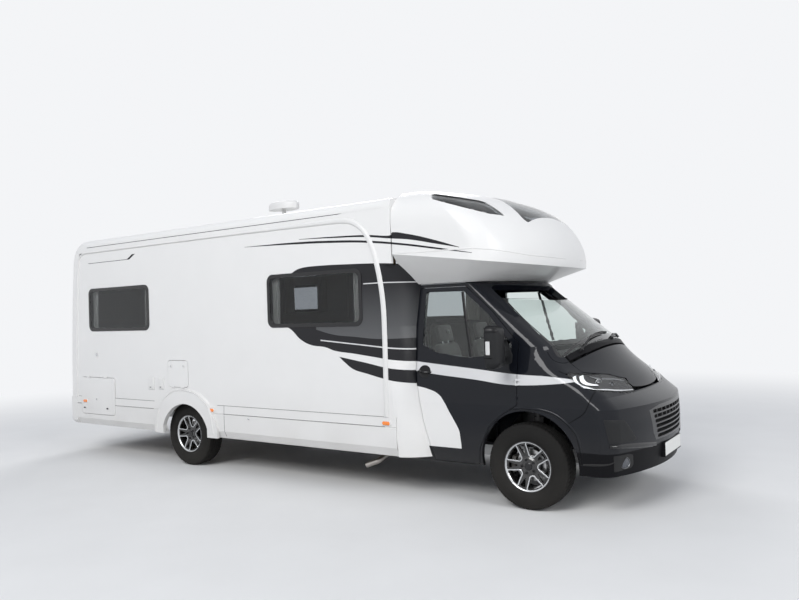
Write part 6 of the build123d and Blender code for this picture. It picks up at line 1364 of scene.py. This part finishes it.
def pale_floor():
    """A plain pale floor whose colour is white where the camera, gloss or glass sees past it."""
    size = 60.0
    mesh = bpy.data.meshes.new("studio_floor")
    mesh.from_pydata([(-size, -size, 0), (size, -size, 0), (size, size, 0), (-size, size, 0)], [],
                     [(0, 1, 2, 3)])
    floor = bpy.data.objects.new("studio_floor", mesh)
    bpy.context.scene.collection.objects.link(floor)
    material = bpy.data.materials.new("studio_floor")
    material.use_nodes = True
    tree = material.node_tree
    shader = shader_of(tree)
    shader.inputs["Roughness"].default_value = 0.9
    spot = spot_of(tree)
    paving = noise_of(tree, spot, 1.4, 4.0)
    tree.links.new(over(tree, (0.70, 0.70, 0.69, 1.0), (0.76, 0.76, 0.75, 1.0), paving),
                   shader.inputs["Base Color"])
    reach = wired(tree, "ShaderNodeVectorMath", {0: spot}, operation="LENGTH").outputs["Value"]
    far = wired(tree, "ShaderNodeMapRange", {"Value": reach, "From Min": 5.0, "From Max": 13.0},
                interpolation_type="SMOOTHSTEP").outputs[0]
    seen = wired(tree, "ShaderNodeLightPath")
    eye = maths(tree, "MAXIMUM", seen.outputs["Is Camera Ray"],
                maths(tree, "MAXIMUM", seen.outputs["Is Glossy Ray"], seen.outputs["Is Transmission Ray"]))
    glow = wired(tree, "ShaderNodeEmission", {"Color": (*BACKGROUND, 1.0), "Strength": 0.95})
    both = wired(tree, "ShaderNodeMixShader", {0: maths(tree, "MULTIPLY", far, eye), 1: shader.outputs[0],
                                               2: glow.outputs[0]})
    end = next(n for n in tree.nodes if n.type == "OUTPUT_MATERIAL")
    tree.links.new(both.outputs[0], end.inputs["Surface"])
    mesh.materials.append(material)


def soft_box(name, place, target, size, power):
    """A large square lamp that looks at a point."""
    lamp = bpy.data.lights.new(name, "AREA")
    lamp.shape = "RECTANGLE"
    lamp.size, lamp.size_y, lamp.energy = size[0], size[1], power
    holder = bpy.data.objects.new(name, lamp)
    holder.location = place
    holder.rotation_euler = (Vector(target) - Vector(place)).to_track_quat("-Z", "Y").to_euler()
    bpy.context.scene.collection.objects.link(holder)


pale_floor()
soft_box("key_light", (2.0, -14.0, 11.0), (0.0, 0.0, 1.2), (9.0, 7.0), 1750.0)
soft_box("front_light", (14.0, -3.0, 7.0), (2.0, 0.0, 1.2), (6.0, 5.0), 700.0)
soft_box("back_light", (-8.0, 11.0, 9.0), (0.0, 0.0, 1.2), (8.0, 6.0), 900.0)

world = bpy.data.worlds.new("studio")
bpy.context.scene.world = world
world.use_nodes = True
sky = world.node_tree
sky.nodes.clear()
seen = wired(sky, "ShaderNodeLightPath")
rays = maths(sky, "MAXIMUM", seen.outputs["Is Camera Ray"],
             maths(sky, "MAXIMUM", seen.outputs["Is Glossy Ray"], seen.outputs["Is Transmission Ray"]))
plain = wired(sky, "ShaderNodeBackground", {"Color": (0.80, 0.86, 1.0, 1.0), "Strength": 0.42})
white = wired(sky, "ShaderNodeBackground", {"Color": (*BACKGROUND, 1.0), "Strength": 0.95})
both = wired(sky, "ShaderNodeMixShader", {0: rays, 1: plain.outputs[0], 2: white.outputs[0]})
wired(sky, "ShaderNodeOutputWorld", {"Surface": both.outputs[0]})

# The camera's place and angles at the photograph
CAMERA_PLACE = (5.5227, -6.6875, 1.7440)
CAMERA_YAW, CAMERA_PITCH, CAMERA_ROLL = 0.60377, 0.015822, -0.033296
CAMERA_LENS = 32.32
forward = Vector((-math.sin(CAMERA_YAW) * math.cos(CAMERA_PITCH),
                  math.cos(CAMERA_YAW) * math.cos(CAMERA_PITCH),
                  math.sin(CAMERA_PITCH)))
level = Vector((math.cos(CAMERA_YAW), math.sin(CAMERA_YAW), 0.0))
upward = level.cross(forward)
across = math.cos(CAMERA_ROLL) * level + math.sin(CAMERA_ROLL) * upward
above = -math.sin(CAMERA_ROLL) * level + math.cos(CAMERA_ROLL) * upward
camera_data = bpy.data.cameras.new("camera")
camera_data.lens = CAMERA_LENS
camera_data.sensor_width = 36.0
camera_data.sensor_fit = "HORIZONTAL"
camera = bpy.data.objects.new("camera", camera_data)
camera.matrix_world = Matrix((
    (across.x, above.x, -forward.x, CAMERA_PLACE[0]),
    (across.y, above.y, -forward.y, CAMERA_PLACE[1]),
    (across.z, above.z, -forward.z, CAMERA_PLACE[2]),
    (0.0, 0.0, 0.0, 1.0)))
bpy.context.scene.collection.objects.link(camera)
bpy.context.scene.camera = camera
bpy.context.scene.view_settings.view_transform = "Standard"
